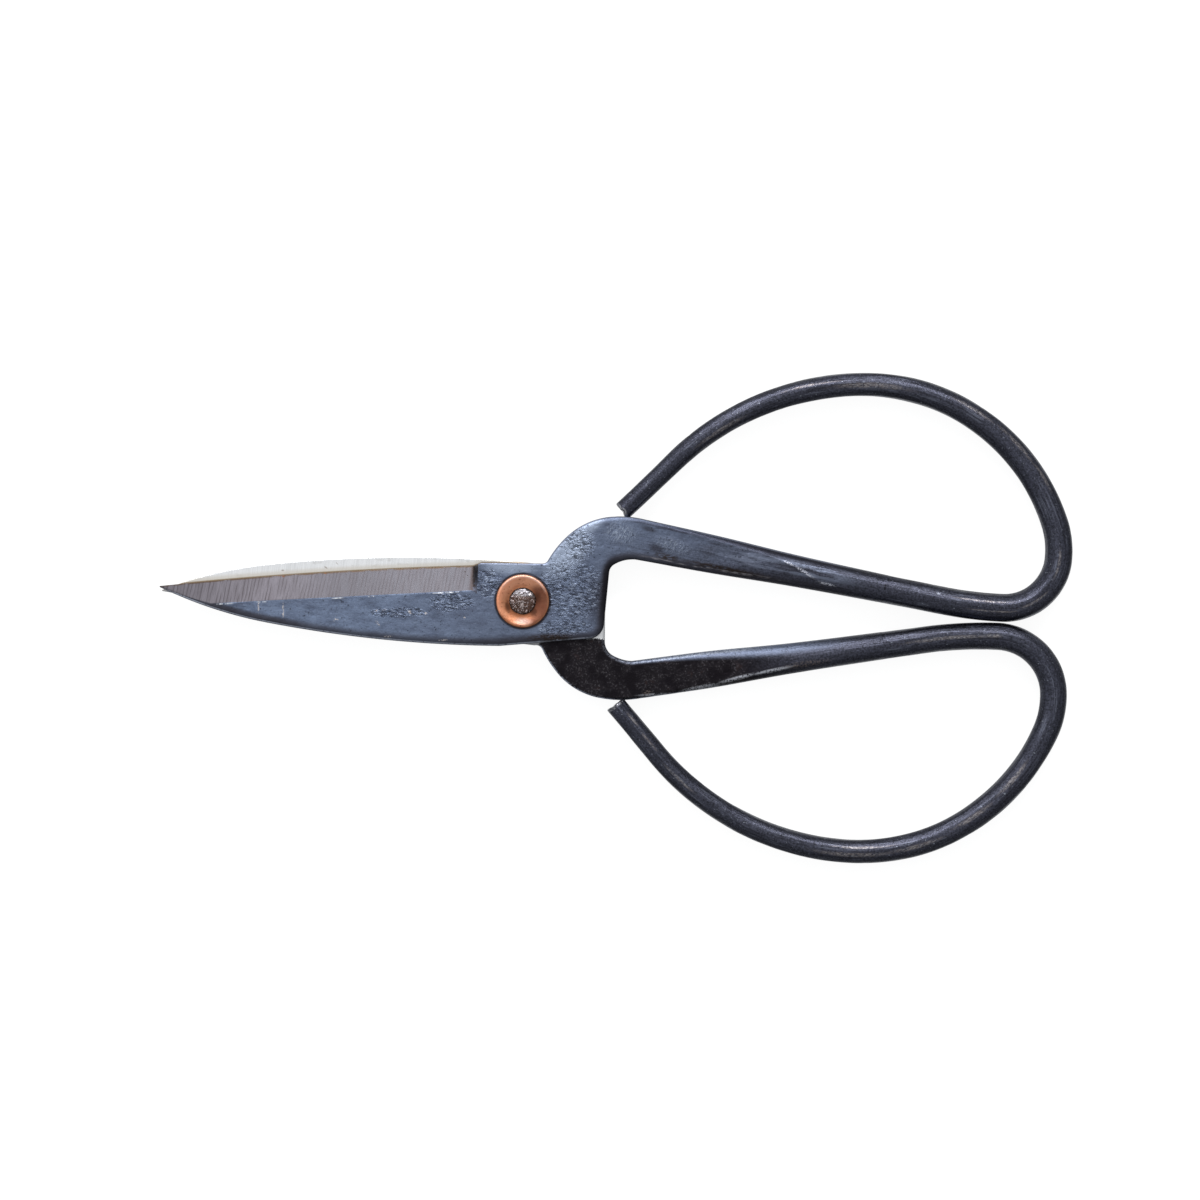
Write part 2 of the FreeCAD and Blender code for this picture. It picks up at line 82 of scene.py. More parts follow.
# Each half: the outline clockwise from the tip (corner, x, y, radius of the arc that leaves it),
# the bevel's border and edge chord at its two ends, the arm, and the bow's run and bends.
HALVES = {
    "front": {
        "outline": [
            ("tip_edge", -79.5, 0.1, 907.0),
            ("bevel_top", -11.2, 7.15, 0),
            ("step_top", -9.3, 7.95, 0),
            ("notch", 4.0, 8.35, 1.3),
            ("shoulder", 5.1, 9.0, 22.4),
            ("crest", 9.2, 14.6, 16.0),
            ("brow", 18.5, 19.15, 23.0),
            ("arm_over", None, None, 0),
            ("arm_under", None, None, 8.0),
            ("throat_top", 19.6, 8.75, 2.2),
            ("throat", 18.6, 7.0, 0),
            ("corner", 17.95, -4.0, 3.6),
            ("heel", 15.2, -7.6, 0),
            ("belly", -4.6, -10.0, 280.0),
            ("nose", -57.3, -6.7, 98.0),
            ("tip_spine", -79.5, -0.15, 0),
        ],
        "bevel_border": (1.75, -4.65),
        "edge_chord": (7.15, -0.15),
        "weld": (79.0, 5.8),
        "arm_slope": 9.1,
        "arm_widths": (9.0, 8.35, 7.0, 6.2),
        "hole": 2.0,
        "bow_radii": (3.1, 3.05, 2.15),
        "bow_run": 12.8,
        "bends": [(84.0, 9.1), (11.8, 85.0), (19.0, 25.0), (43.7, 72.0), (59.4, 44.0)],
        "end_run": 16.5,
        "end_cut": (0.35, 0.1, 0.5),
    },
    "back": {
        "outline": [
            ("tip_edge", -79.0, 1.0, 907.0),
            ("bevel_top", -11.2, 7.0, 0),
            ("step_top", -9.3, 8.6, 0),
            ("notch", 2.9, 9.6, 1.5),
            ("shoulder", 4.6, 10.3, 23.5),
            ("crest", 8.9, 16.25, 15.7),
            ("brow", 18.0, 20.6, 24.8),
            ("arm_over", None, None, 0),
            ("arm_under", None, None, 9.0),
            ("throat_top", 20.6, 11.35, 3.6),
            ("throat", 18.25, 8.2, 0),
            ("corner", 17.9, -4.0, 3.6),
            ("heel", 15.2, -7.2, 0),
            ("belly", 1.0, -8.4, 288.0),
            ("nose", -56.7, -5.7, 90.0),
            ("tip_spine", -79.0, 0.75, 0),
        ],
        "bevel_border": (1.6, -3.9),
        "edge_chord": (7.0, 0.75),
        "weld": (79.0, 6.6),
        "arm_slope": 10.2,
        "arm_widths": (8.4, 8.1, 6.7, 6.0),
        "hole": 2.05,
        "bow_radii": (3.0, 2.95, 2.25),
        "bow_run": 9.4,
        "bends": [(89.0, 10.2), (12.8, 87.0), (19.5, 25.0), (44.6, 70.0), (59.1, 46.0)],
        "end_run": 14.1,
        "end_cut": (-0.15, -0.4, 0.18),
    },
}
HOLLOW_ARCS = ("notch", "arm_under", "throat_top")

# Low ridges that the hammer left on the side seen from the front: two ends, half-width, height.
RIDGES = {
    "front": [((52.0, 12.3), (58.0, 10.4), 0.60, 0.09), ((58.0, 10.4), (64.2, 6.8), 0.55, 0.13),
              ((64.2, 6.8), (70.0, 5.6), 0.45, 0.06)],
    "back": [((34.0, -18.5), (43.0, -16.4), 0.60, 0.12), ((43.0, -16.4), (49.5, -14.4), 0.55, 0.15),
             ((49.5, -14.4), (60.0, -11.8), 0.55, 0.12), ((60.0, -11.8), (70.0, -9.8), 0.50, 0.06)],
}

# --- heights, from the frame ----------------------------------------------------------------

FRONT_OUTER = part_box("front_washer")[0].z / MM
MIDDLE = frame["joints"][0]["pos_m"][2] / MM
THICK = FRONT_OUTER - MIDDLE - FACE_GAP / 2


def to_frame(half, points):
    """Points of a half's own frame, in the snips' frame. Bows and arms share the mid-plane."""
    turned = np.array(points, float)
    if half == "back":
        turned[:, 1:] *= -1
        turned[:, 2] += MIDDLE - FACE_GAP / 2
    else:
        turned[:, 2] += MIDDLE + FACE_GAP / 2
    return turned


# --- outlines and the ladder of rungs across a forging ----------------------------------------

def arc_points(start, end, radius, bulges_left, spacing=0.25):
    """Points from the start up to, but not including, the end, along an arc or a line."""
    start, end = np.array(start), np.array(end)
    chord = end - start
    length = math.hypot(*chord)
    shares = np.linspace(0, 1, max(2, round(length / spacing)) + 1)[:-1, None]
    if not radius:
        return start + shares * chord
    left = np.array([-chord[1], chord[0]]) / length * (1 if bulges_left else -1)
    centre = (start + end) / 2 - left * math.sqrt(radius**2 - (length / 2) ** 2)
    first, last = (math.atan2(*(place - centre)[::-1]) for place in (start, end))
    turn = (last - first + math.pi) % (2 * math.pi) - math.pi
    angles = first + shares * turn
    return centre + radius * np.hstack([np.cos(angles), np.sin(angles)])


def smooth_through(xs, ys, x):
    """A smooth curve through a few points, with the slopes taken from their neighbours."""
    xs, ys = np.array(xs, float), np.array(ys, float)
    slopes = np.gradient(ys, xs)
    x = np.clip(x, xs[0], xs[-1])
    left = np.clip(np.searchsorted(xs, x, side="right") - 1, 0, len(xs) - 2)
    width = xs[left + 1] - xs[left]
    t = (x - xs[left]) / width
    start = (1 + 2 * t) * (1 - t) ** 2 * ys[left] + t * (1 - t) ** 2 * width * slopes[left]
    end = t * t * (3 - 2 * t) * ys[left + 1] + t * t * (t - 1) * width * slopes[left + 1]
    return start + end


def arm_axis(sizes):
    """The weld's place, the arm's direction and the direction across it."""
    slope = math.radians(sizes["arm_slope"])
    along = np.array([math.cos(slope), -math.sin(slope)])
    return np.array(sizes["weld"]), along, np.array([-along[1], along[0]])


def arm_edge(sizes, side, share):
    """The arm's edge at shares of its length: side is 1 for the upper one, -1 for the lower."""
    weld, along, across = arm_axis(sizes)
    share = np.atleast_1d(share)[:, None]
    places = [section[0] for section in ARM_SECTIONS]
    half_width = smooth_through(places, sizes["arm_widths"], share) / 2
    return weld - (1 - share) * ARM_LENGTH * along + side * half_width * across


class Side:
    """One long side of a forging, from the tip to the weld, as a chain of close points."""

    def __init__(self, pieces, names):
        points = np.vstack(pieces)
        steps = np.hypot(*np.diff(points, axis=0).T)
        self.points = points
        self.along = np.concatenate([[0], np.cumsum(steps)])
        starts = np.cumsum([0] + [len(piece) for piece in pieces])
        self.marks = {name: self.along[start] for name, start in zip(names, starts)}
        self.marks["weld"] = self.along[-1]

    def at(self, along):
        columns = [np.interp(along, self.along, column) for column in self.points.T]
        return np.stack(columns, axis=-1)

    def mark(self, place):
        """The distance along the side to a named corner, or to where it reaches an x."""
        if isinstance(place, str):
            return self.marks[place]
        return np.interp(place, self.points[:, 0], self.along)

    def distance(self, places):
        """How far each place is from this side."""
        starts, ends = self.points[:-1], self.points[1:]
        chords = ends - starts
        lengths = (chords**2).sum(1)
        found = np.empty(len(places))
        for first in range(0, len(places), 4000):
            block = places[first:first + 4000, None]
            share = np.clip(((block - starts) * chords).sum(2) / lengths, 0, 1)
            gaps = block - starts - share[..., None] * chords
            found[first:first + 4000] = np.sqrt((gaps**2).sum(2).min(1))
        return found


def sides_of(sizes):
    """The cutting-edge side and the spine side of a forging."""
    corners = {name: (x, y) for name, x, y, _ in sizes["outline"]}
    corners["arm_over"] = tuple(arm_edge(sizes, 1, 0)[0])
    corners["arm_under"] = tuple(arm_edge(sizes, -1, 0)[0])
    names = [name for name, *_ in sizes["outline"]]
    radii = {name: radius for name, _, _, radius in sizes["outline"]}
    turn = names.index("arm_over")
    arm_shares = np.linspace(0, 1, round(ARM_LENGTH / 0.4))

    def chain(run):
        return [arc_points(corners[a], corners[b], radii[a], a not in HOLLOW_ARCS)
                for a, b in zip(run, run[1:])]

    upper_run = names[:turn + 1]
    upper = Side(chain(upper_run) + [arm_edge(sizes, 1, arm_shares)], upper_run)
    lower_run = names[turn + 1:]
    pieces = [piece[::-1] for piece in reversed(chain(lower_run))]
    pieces[0] = np.vstack([[corners["tip_spine"]], pieces[0]])
    lower = Side(pieces + [arm_edge(sizes, -1, arm_shares)[1:]], lower_run[::-1])
    return upper, lower


# Pairs of places on the two sides that a rung of the mesh joins, and the rungs' spacing up to
# the next pair. A number is an x.
RUNGS = [
    ("tip_edge", "tip_spine", 0.42),
    (-BEVEL_START, -BEVEL_START, 0.12),
    (-BEVEL_START + STEP_RUN, -BEVEL_START + STEP_RUN, 0.35),
    ("step_top", -9.3, 0.33),
    ("notch", 6.5, 0.2),
    ("shoulder", 9.0, 0.27),
    ("crest", "corner", 0.27),
    ("brow", "throat_top", 0.27),
    ("arm_over", "arm_under", 0.33),
    ("weld", "weld", 0),
]
STAGE = {"tip": 0, "bevel_end": 1, "step_top": 2, "corner": 3, "notch": 4, "shoulder": 5,
         "crest": 6, "brow": 7, "arm": 8, "weld": 9}


def rungs_of(upper, lower):
    """The two ends of every rung, and its stage: 0 at the tip, up to 9 at the weld."""
    ups, downs, stages = [], [], []
    for stage, (here, there) in enumerate(zip(RUNGS, RUNGS[1:])):
        up = upper.mark(here[0]), upper.mark(there[0])
        down = lower.mark(here[1]), lower.mark(there[1])
        count = math.ceil(max(up[1] - up[0], down[1] - down[0]) / here[2])
        shares = np.linspace(0, 1, count + 1)[:-1]
        ups.append(up[0] + shares * (up[1] - up[0]))
        downs.append(down[0] + shares * (down[1] - down[0]))
        stages.append(stage + shares)
    ups, downs = np.append(np.concatenate(ups), up[1]), np.append(np.concatenate(downs), down[1])
    return upper.at(ups), lower.at(downs), np.append(np.concatenate(stages), STAGE["weld"])


EDGE_STEPS = np.array([0, 0.02, 0.06, 0.13, 0.25, 0.42, 0.65, 0.93, 1.25])
ROWS_BEHIND = 30   # rows of the mesh between the spine and the bevel's border
ROWS_BEVEL = 30    # and from there to the edge
BORDER_ROW = len(EDGE_STEPS) + ROWS_BEHIND - 1


def bevel_line(ends, x):
    """A height that changes evenly from the bevel's near end to its far end."""
    share = (-x - BEVEL_START) / (BEVEL_END - BEVEL_START)
    return ends[0] + share * (ends[1] - ends[0])


def rows_across(sizes, high, low, stages):
    """Places on every rung, close together near its ends, with one row on the bevel's border."""
    width = np.hypot(*(high - low).T)
    gap_low = low[:, 1] - bevel_line(sizes["bevel_border"], low[:, 0])
    gap_high = high[:, 1] - bevel_line(sizes["bevel_border"], high[:, 0])
    border = -gap_low / (gap_high - gap_low)
    at_step = border[np.searchsorted(stages, STAGE["bevel_end"])]
    plain = np.interp(stages, [STAGE["bevel_end"], STAGE["notch"]], [at_step, 0.5])
    border = np.where(stages < STAGE["bevel_end"], np.clip(border, 0.14, 0.9), plain)
    rows = []
    for span, offset, sign in ((border * width, 0, 1), ((1 - border) * width, width, -1)):
        scale = np.minimum(1, span / (2 * EDGE_STEPS[-1]))[:, None]
        near = EDGE_STEPS * scale
        count = ROWS_BEHIND if sign > 0 else ROWS_BEVEL
        shares = np.linspace(0, 1, count)[1:]
        inner = near[:, -1:] + shares * (span[:, None] - near[:, -1:])
        rows.append(np.reshape(offset, (-1, 1)) + sign * np.hstack([near, inner]))
    share = np.hstack([rows[0], rows[1][:, ::-1][:, 1:]]) / width[:, None]
    share = np.clip(share, 0, 1)[..., None]
    return low[:, None] + share * (high - low)[:, None]


# --- heights of a forging's faces -------------------------------------------------------------

# Rounding along an outline, from stage to stage: the stage, its width and its depth.
OUTER_SPINE_ROLL = [("tip", 0.7, 0.45), ("bevel_end", 1.25, 0.75)]
OUTER_EDGE_ROLL = [("step_top", 0.0, 0.0), ("corner", 0.3, 0.2), ("notch", 0.4, 0.3), ("crest", 1.25, 0.75)]
GROUND_SPINE_ROLL = [("tip", 0.1, 0.08), ("corner", 0.15, 0.1), ("crest", 0.9, 0.6), ("arm", 1.1, 0.75)]
GROUND_EDGE_ROLL = [("step_top", 0.0, 0.0), ("notch", 0.15, 0.1), ("crest", 0.2, 0.15), ("arm", 0.75, 0.75)]
DEEPEST_ROLL = 0.45       # as a share of the plate's thickness
STEP_CURVE = 1.6          # above 1, the grinder's run-out is hollow
LEAST_THICK = 0.03


def rolled(distance, width, depth):
    """How far a rounded edge has dropped at a distance from the outline."""
    share = np.clip(1 - distance / np.maximum(width, 1e-6), 0, 1)
    return depth * (1 - np.sqrt(1 - share**2))


def by_stage(stages, table):
    """The width and the depth of a rounding on every rung."""
    names, *sizes = zip(*table)
    return (np.interp(stages, [STAGE[name] for name in names], size)[:, None] for size in sizes)


def forging_heights(sizes, places, stages, from_low, from_high):
    """Heights of the outer and of the ground face over every place of the ladder."""
    x, y = places[..., 0], places[..., 1]
    arm_share = np.clip(stages - STAGE["arm"], 0, 1)
    cut, thick, centre, corner = (np.array(column) for column in zip(*ARM_SECTIONS))
    middle = smooth_through(cut, centre, arm_share)[:, None]
    half_thick = smooth_through(cut, thick, arm_share)[:, None] / 2
    arm_corner = smooth_through(cut, corner, arm_share)[:, None]
    on_arm = (stages > STAGE["arm"])[:, None]

    fall = (THICK - TIP_THICK) / (TAPER_END - TAPER_START)
    plate = THICK - np.clip(-x - TAPER_START, 0, None) * fall
    border = bevel_line(sizes["bevel_border"], x)
    edge_z = bevel_line((EDGE_NEAR, EDGE_FAR), x)
    chord = bevel_line(sizes["edge_chord"], x)
    bevel = plate - (y - border) * (plate - edge_z) / (chord - border)
    bevel = np.clip(np.minimum(bevel, plate), EDGE_LEAST, None)
    lift = np.clip((x + BEVEL_START) / STEP_RUN, 0, 1)
    plate = bevel + (plate - bevel) * lift**STEP_CURVE
    top = np.where(on_arm, middle + half_thick, plate)
    bottom = np.where(on_arm, middle - half_thick, 0.0)

    def roll(table, spine):
        width, depth = by_stage(stages, table)
        width = np.where(on_arm, np.maximum(arm_corner, width * (1 - arm_share[:, None] * 2)), width)
        depth = np.where(on_arm, arm_corner, np.minimum(depth, DEEPEST_ROLL * plate))
        lower_arm = 1 + LOWER_SPREAD * np.sin(np.pi * np.clip(arm_share, 0, 1))[:, None] * spine
        return rolled(from_low if spine else from_high, width * lower_arm, depth)

    top = top - roll(OUTER_SPINE_ROLL, True)
    top = top - roll(OUTER_EDGE_ROLL, False)
    bottom = bottom + roll(GROUND_SPINE_ROLL, True)
    bottom = bottom + roll(GROUND_EDGE_ROLL, False)
    return top, np.minimum(bottom, top - LEAST_THICK)


# --- meshes -----------------------------------------------------------------------------------

def vertex_normals(points, faces):
    """Smooth normals at the vertices of a mesh of quads."""
    corners = points[faces]
    across = np.cross(corners[:, 2] - corners[:, 0], corners[:, 3] - corners[:, 1])
    normals = np.zeros_like(points)
    for corner in range(4):
        np.add.at(normals, faces[:, corner], across)
    return normals / np.maximum(np.linalg.norm(normals, axis=1), 1e-12)[:, None]


DENT_SIZES = (7.0, 2.6)   # wide dents, and smaller ones that are less deep
SMALL_DENT_SHARE = 0.45
DENT_DEPTH = 0.045
PIT_SIZE = 1.1
PIT_SHIFT = Vector((9.0, 3.0, 5.0))
PIT_START = 0.42          # noise above this makes a pit
PIT_DEPTH = 0.16
SKIN_SINK = 0.02          # lowers the whole skin a little


def hammered(point):
    """How far forged skin stands off its true surface at a place: soft dents and a fine scale."""
    place = Vector(point)
    wide, small = (noise.noise(place / size) for size in DENT_SIZES)
    pits = max(0.0, noise.noise(place / PIT_SIZE + PIT_SHIFT) - PIT_START)
    return DENT_DEPTH * (wide + SMALL_DENT_SHARE * small) - PIT_DEPTH * pits - SKIN_SINK


def ridge_heights(half, points):
    """The height of a half's ridges at every point of the frame, on the side seen from the front."""
    heights = np.zeros(len(points))
    for start, end, reach, rise in RIDGES[half]:
        start, chord = np.array(start), np.subtract(end, start)
        share = np.clip((points[:, :2] - start) @ chord / (chord @ chord), 0, 1)
        gap = np.linalg.norm(points[:, :2] - start - share[:, None] * chord, axis=1)
        heights = np.maximum(heights, rise * np.clip(1 - gap / reach, 0, 1))
    return heights


def hole_rim(hole):
    """The edges round the grid cells that a hole takes out, in those cells' own winding."""
    corners = [(0, 0), (1, 0), (1, 1), (0, 1)]
    neighbours = [(0, -1), (1, 0), (0, 1), (-1, 0)]
    rim = []
    for cell in np.argwhere(hole):
        for side, step in enumerate(neighbours):
            if not hole[tuple(cell + step)]:
                rim.append((cell + corners[side], cell + corners[(side + 1) % 4]))
    return np.array(rim)


def add_piece(name, points, faces, body, node, materials, crease, numbers=(), vectors=(),
              face_slots=None):
    """A new piece in the snips' frame, from points in millimetres, that stands for a CAD node."""
    mesh = bpy.data.meshes.new(name)
    mesh.from_pydata((points * MM).tolist(), [], faces)
    mesh.update()
    for rows, kind, field in ((numbers, "FLOAT", "value"), (vectors, "FLOAT_VECTOR", "vector")):
        for key, values in rows:
            layer = mesh.attributes.new(key, kind, "POINT")
            layer.data.foreach_set(field, np.ravel(values).astype(np.float32))
    for material in materials:
        mesh.materials.append(material)
    if face_slots is not None:
        mesh.polygons.foreach_set("material_index", np.asarray(face_slots, np.int32))
    mesh.shade_smooth()
    mesh.set_sharp_from_angle(angle=math.radians(crease))
    piece = bpy.data.objects.new(name, mesh)
    bpy.context.scene.collection.objects.link(piece)
    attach(piece, body)
    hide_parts(node)
    return piece


FORGED, BEVEL, INNER = range(3)   # a forging's material slots
GROUND_END = 18.3                 # the ground face ends here along the half,
GROUND_SIDE = 7.7                 # and here towards the arm, beyond the notch; then black scale begins
NOTCH_X = 4.0
DENTED_EDGE = (0.3, 1.6)          # the skin is dented from just outside the outline, fully by 1.3 mm inside
SCALE_START = (19.0, 4.0)         # the inner side is dented from this x, fully this much further
FORGING_CREASE = 32.0


def forging(half, materials):
    """Blade, pivot flat, shoulder and arm as one mesh, with hammered skin and ground faces."""
    sizes = HALVES[half]
    upper, lower = sides_of(sizes)
    high, low, stages = rungs_of(upper, lower)
    places = rows_across(sizes, high, low, stages)
    rungs, rows = places.shape[:2]
    flat = places.reshape(-1, 2)
    from_low = lower.distance(flat).reshape(rungs, rows)
    from_high = upper.distance(flat).reshape(rungs, rows)
    top, bottom = forging_heights(sizes, places, stages, from_low, from_high)
    over = np.dstack([places, top])
    under = np.dstack([places, bottom])
    points = np.vstack([over.reshape(-1, 3), under.reshape(-1, 3)])

    index = np.arange(2 * rungs * rows).reshape(2, rungs, rows)
    a, b = index

    def quads(p, q, r, s):
        return np.stack([part.ravel() for part in (p, q, r, s)], axis=1)

    centres = (places[:-1, :-1] + places[1:, 1:]) / 2
    hole = np.hypot(*np.moveaxis(centres, -1, 0)) < sizes["hole"]
    rim = hole_rim(hole)
    from_rim, to_rim = (rim[:, end, 0] * rows + rim[:, end, 1] for end in (0, 1))
    kept = ~hole.ravel()
    outer = quads(a[:-1, :-1], a[1:, :-1], a[1:, 1:], a[:-1, 1:])[kept]
    inner = quads(b[:-1, :-1], b[:-1, 1:], b[1:, 1:], b[1:, :-1])[kept]
    bore = np.stack([from_rim, to_rim, to_rim + a.size, from_rim + a.size], axis=1)
    spine_wall = quads(a[:-1, 0], b[:-1, 0], b[1:, 0], a[1:, 0])
    edge_wall = quads(a[:-1, -1], a[1:, -1], b[1:, -1], b[:-1, -1])
    tip = quads(a[0, :-1], a[0, 1:], b[0, 1:], b[0, :-1])
    end = quads(a[-1, :-1], b[-1, :-1], b[-1, 1:], a[-1, 1:])
    faces = np.vstack([outer, inner, spine_wall, edge_wall, tip, end, bore])

    stage_of = np.broadcast_to(stages[:-1, None], (rungs - 1, rows - 1))
    row_of = np.broadcast_to(np.arange(rows - 1), (rungs - 1, rows - 1))
    on_bevel = (row_of >= BORDER_ROW) & (stage_of < STAGE["step_top"])
    slots = np.concatenate([
        np.where(on_bevel, BEVEL, FORGED).ravel()[kept],
        np.full(len(inner), INNER),
        np.full(len(spine_wall), FORGED),
        np.where(stages[:-1] < STAGE["bevel_end"], BEVEL, FORGED),
        np.full(len(tip) + len(end) + len(bore), FORGED),
    ])

    normals = vertex_normals(points, faces)
    bevel_zone = (np.arange(rows) >= BORDER_ROW)[None] & (stages < STAGE["step_top"])[:, None]
    near_outline = np.clip((np.minimum(from_low, from_high) + DENTED_EDGE[0]) / DENTED_EDGE[1], 0, 1)
    skin_top = np.where(bevel_zone, 0.0, near_outline)
    skin_bottom = np.clip((places[..., 0] - SCALE_START[0]) / SCALE_START[1], 0, 1)
    skin = np.concatenate([skin_top.ravel(), skin_bottom.ravel()])
    in_frame = to_frame(half, points)
    stand = np.array([hammered(point) for point in in_frame]) * skin
    faces_front = normals[:, 2] * (1 if half == "front" else -1) > 0.3
    stand = stand + ridge_heights(half, in_frame) * faces_front
    points = points + normals * stand[:, None]
    round_hole = np.concatenate([from_rim, from_rim + a.size])
    points[round_hole, :2] *= sizes["hole"] / np.hypot(*points[round_hole, :2].T)[:, None]

    weld, along, across = arm_axis(sizes)
    from_weld = points[:, :2] - weld
    grain = np.column_stack([from_weld @ along, from_weld @ across, points[:, 2]])
    border_mm = places[..., 1] - bevel_line(sizes["bevel_border"], places[..., 0])
    other = HALVES["back" if half == "front" else "front"]
    other_side = sides_of(other)[0]
    contact_mm = other_side.distance(flat * [1, -1])
    x, y = places[..., 0], places[..., 1]
    open_mm = -y - bevel_line(other["edge_chord"], x)
    ground_mm = np.minimum(GROUND_END - x, np.maximum(GROUND_SIDE - y, NOTCH_X - x))
    numbers = [("low_mm", from_low), ("high_mm", from_high), ("border_mm", border_mm),
               ("contact_mm", contact_mm), ("ground_mm", ground_mm), ("open_mm", open_mm)]
    used, faces = np.unique(faces, return_inverse=True)
    return add_piece(
        f"{half}_forging", to_frame(half, points[used]), faces.reshape(-1, 4).tolist(), f"{half}_half",
        f"{half}_blade", materials, vectors=[("grain", grain[used])], face_slots=slots,
        numbers=[(key, np.tile(np.ravel(values), 2)[used]) for key, values in numbers], crease=FORGING_CREASE)


BOW_STEP = 0.45     # between the rings of the rod's mesh


def bow_path(sizes):
    """Points, headings and distances along a bow's centreline, from the weld to its free end."""
    place = np.array(sizes["weld"], float)
    heading = -math.radians(sizes["arm_slope"])
    points, headings = [place], [heading]
    runs = [(sizes["bow_run"], 0.0)]
    runs += [(radius * math.radians(turn), math.radians(turn)) for radius, turn in sizes["bends"]]
    runs.append((sizes["end_run"], 0.0))
    hook_end = sum(length for length, _ in runs[:3])
    for length, turn in runs:
        count = max(1, round(length / BOW_STEP))
        for _ in range(count):
            heading += turn / count / 2
            place = place + length / count * np.array([math.cos(heading), math.sin(heading)])
            heading += turn / count / 2
            points.append(place)
            headings.append(heading)
    points = np.array(points)
    along = np.concatenate([[0], np.cumsum(np.hypot(*np.diff(points, axis=0).T))])
    return points, np.array(headings), along, hook_end


DRAWN_SIZE = np.array([16.0, 1.3, 1.3])   # long flats that the drawing out left along the rod
DRAWN_DEPTH = 0.11
DRAWN_SINK = 0.15   # lowers the whole rod a little, as a share of that depth
QUIET_START = 0.5   # the rod is smooth where it meets the weld
ROD_AROUND = 72
ROD_CREASE = 50.0
END_REACH = 1.6     # length of rod that the rough cut reaches
CHIP_WIDTH = 0.3    # share of the radius
END_RINGS = [(0.97, 0.08), (0.9, 0.17), (0.78, 0.2), (0.5, 0.12), (0.2, 0.05)]   # shrink, push


def bow(half, materials):
    """The handle bow: a drawn-out round rod, bent by hand, with a roughly cut free end."""
    sizes = HALVES[half]
    line, headings, along, hook_end = bow_path(sizes)
    radii = np.interp(along, [0, hook_end, along[-1]], sizes["bow_radii"])
    angles = np.linspace(0, 2 * math.pi, ROD_AROUND, endpoint=False)
    across = np.column_stack([-np.sin(headings), np.cos(headings)])
    side, rise = radii[:, None] * np.cos(angles), radii[:, None] * np.sin(angles)
    plan = line[:, None] + side[..., None] * across[:, None]
    points = np.dstack([plan, rise])
    grain = np.dstack([np.broadcast_to(along[:, None], side.shape), side, rise])

    # The free end leans and has a chip; then rings pull in for its worn corner and the cut face.
    lean, chip_side, chip_depth = sizes["end_cut"]
    forward = np.array([math.cos(headings[-1]), math.sin(headings[-1]), 0.0])
    share = np.cos(angles)
    chip = np.exp(-((share - chip_side) / CHIP_WIDTH) ** 2)
    near_end = np.clip(1 - (along[-1] - along) / END_REACH, 0, 1)[:, None]
    points += (near_end * (lean * share - chip_depth * chip))[..., None] * forward
    end_centre = points[-1].mean(axis=0)
    rings, grains = [points], [grain]
    for shrink, push in END_RINGS:
        rings.append(end_centre + (points[-1:] - end_centre) * shrink + forward * push)
        grains.append(grain[-1:] * [1, shrink, shrink])
    points = np.concatenate(rings)
    grain = np.concatenate(grains)
    rungs = len(points)

    index = np.arange(rungs * ROD_AROUND).reshape(rungs, ROD_AROUND)
    ahead = np.roll(index, -1, axis=1)
    faces = np.stack([part.ravel() for part in (index[:-1], ahead[:-1], ahead[1:], index[1:])], axis=1)
    flat = points.reshape(-1, 3)
    normals = vertex_normals(flat, faces)
    in_frame = to_frame(half, flat)
    stand = np.array([hammered(point) for point in in_frame])
    drawn = np.array([noise.noise(Vector(place / DRAWN_SIZE)) for place in grain.reshape(-1, 3)])
    quiet = np.clip((grain[..., 0].ravel()) / QUIET_START, 0, 1)
    flat = flat + normals * ((stand + DRAWN_DEPTH * (drawn - DRAWN_SINK)) * quiet)[:, None]
    caps = [index[0][::-1].tolist(), index[-1].tolist()]
    return add_piece(
        f"{half}_handle_bow", to_frame(half, flat), faces.tolist() + caps, f"{half}_half", f"{half}_bow",
        materials, vectors=[("grain", grain)], numbers=[("end_mm", along[-1] - grain[..., 0])],
        crease=ROD_CREASE)


def turned(profile, around, lumps):
    """Points and faces of a closed profile of radius and height, turned about the rivet's axis."""
    angles = np.linspace(0, 2 * math.pi, around, endpoint=False)
    profile = np.array(profile, float)
    radius, height = profile[:, :1], profile[:, 1:]
    points = np.dstack([radius * np.cos(angles), radius * np.sin(angles), height + 0 * angles])
    for ring in points:
        for point in ring:
            lumps(point)
    index = np.arange(len(profile) * around).reshape(len(profile), around)
    ahead = np.roll(index, -1, axis=1)
    below, below_ahead = np.roll(index, -1, axis=0), np.roll(ahead, -1, axis=0)
    quads = np.stack([part.ravel() for part in (index, ahead, below_ahead, below)], axis=1)
    return points.reshape(-1, 3), quads


# --- washers and rivet --------------------------------------------------------------------------

WASHER_BORE = 2.01
# Radius and height round a washer of the nominal size: along the dish, over the rim, and back.
WASHER_CURVE = [
    (WASHER_BORE, 0.55), (2.6, 0.545), (3.1, 0.56), (3.5, 0.62), (4.0, 0.75), (4.5, 0.91), (4.9, 1.05),
    (5.15, 1.13), (5.35, 1.15), (5.55, 1.10), (5.72, 0.97), (5.84, 0.78), (5.89, 0.55), (5.86, 0.3),
    (5.76, 0.08), (5.6, 0.0), (4.6, 0.0), (3.4, 0.0), (WASHER_BORE, 0.0)]
WASHER_NOMINAL = (5.9, 1.15)   # radius and height
WASHER_AROUND = 144
WASHER_CREASE = 40.0
FLAT_UNDER = 0.2               # the underside, below this height, stays flat
WAVE_SIZE = 2.3                # of the rim's waves,
WAVE_DEPTH = 0.06
WAVE_START = 2.3               # which start at this radius
WAVE_GROWTH = 2                # and are full this much further out
SWELL_SIZE = 4                 # of the uneven outline
SWELL_SHARE = 0.006


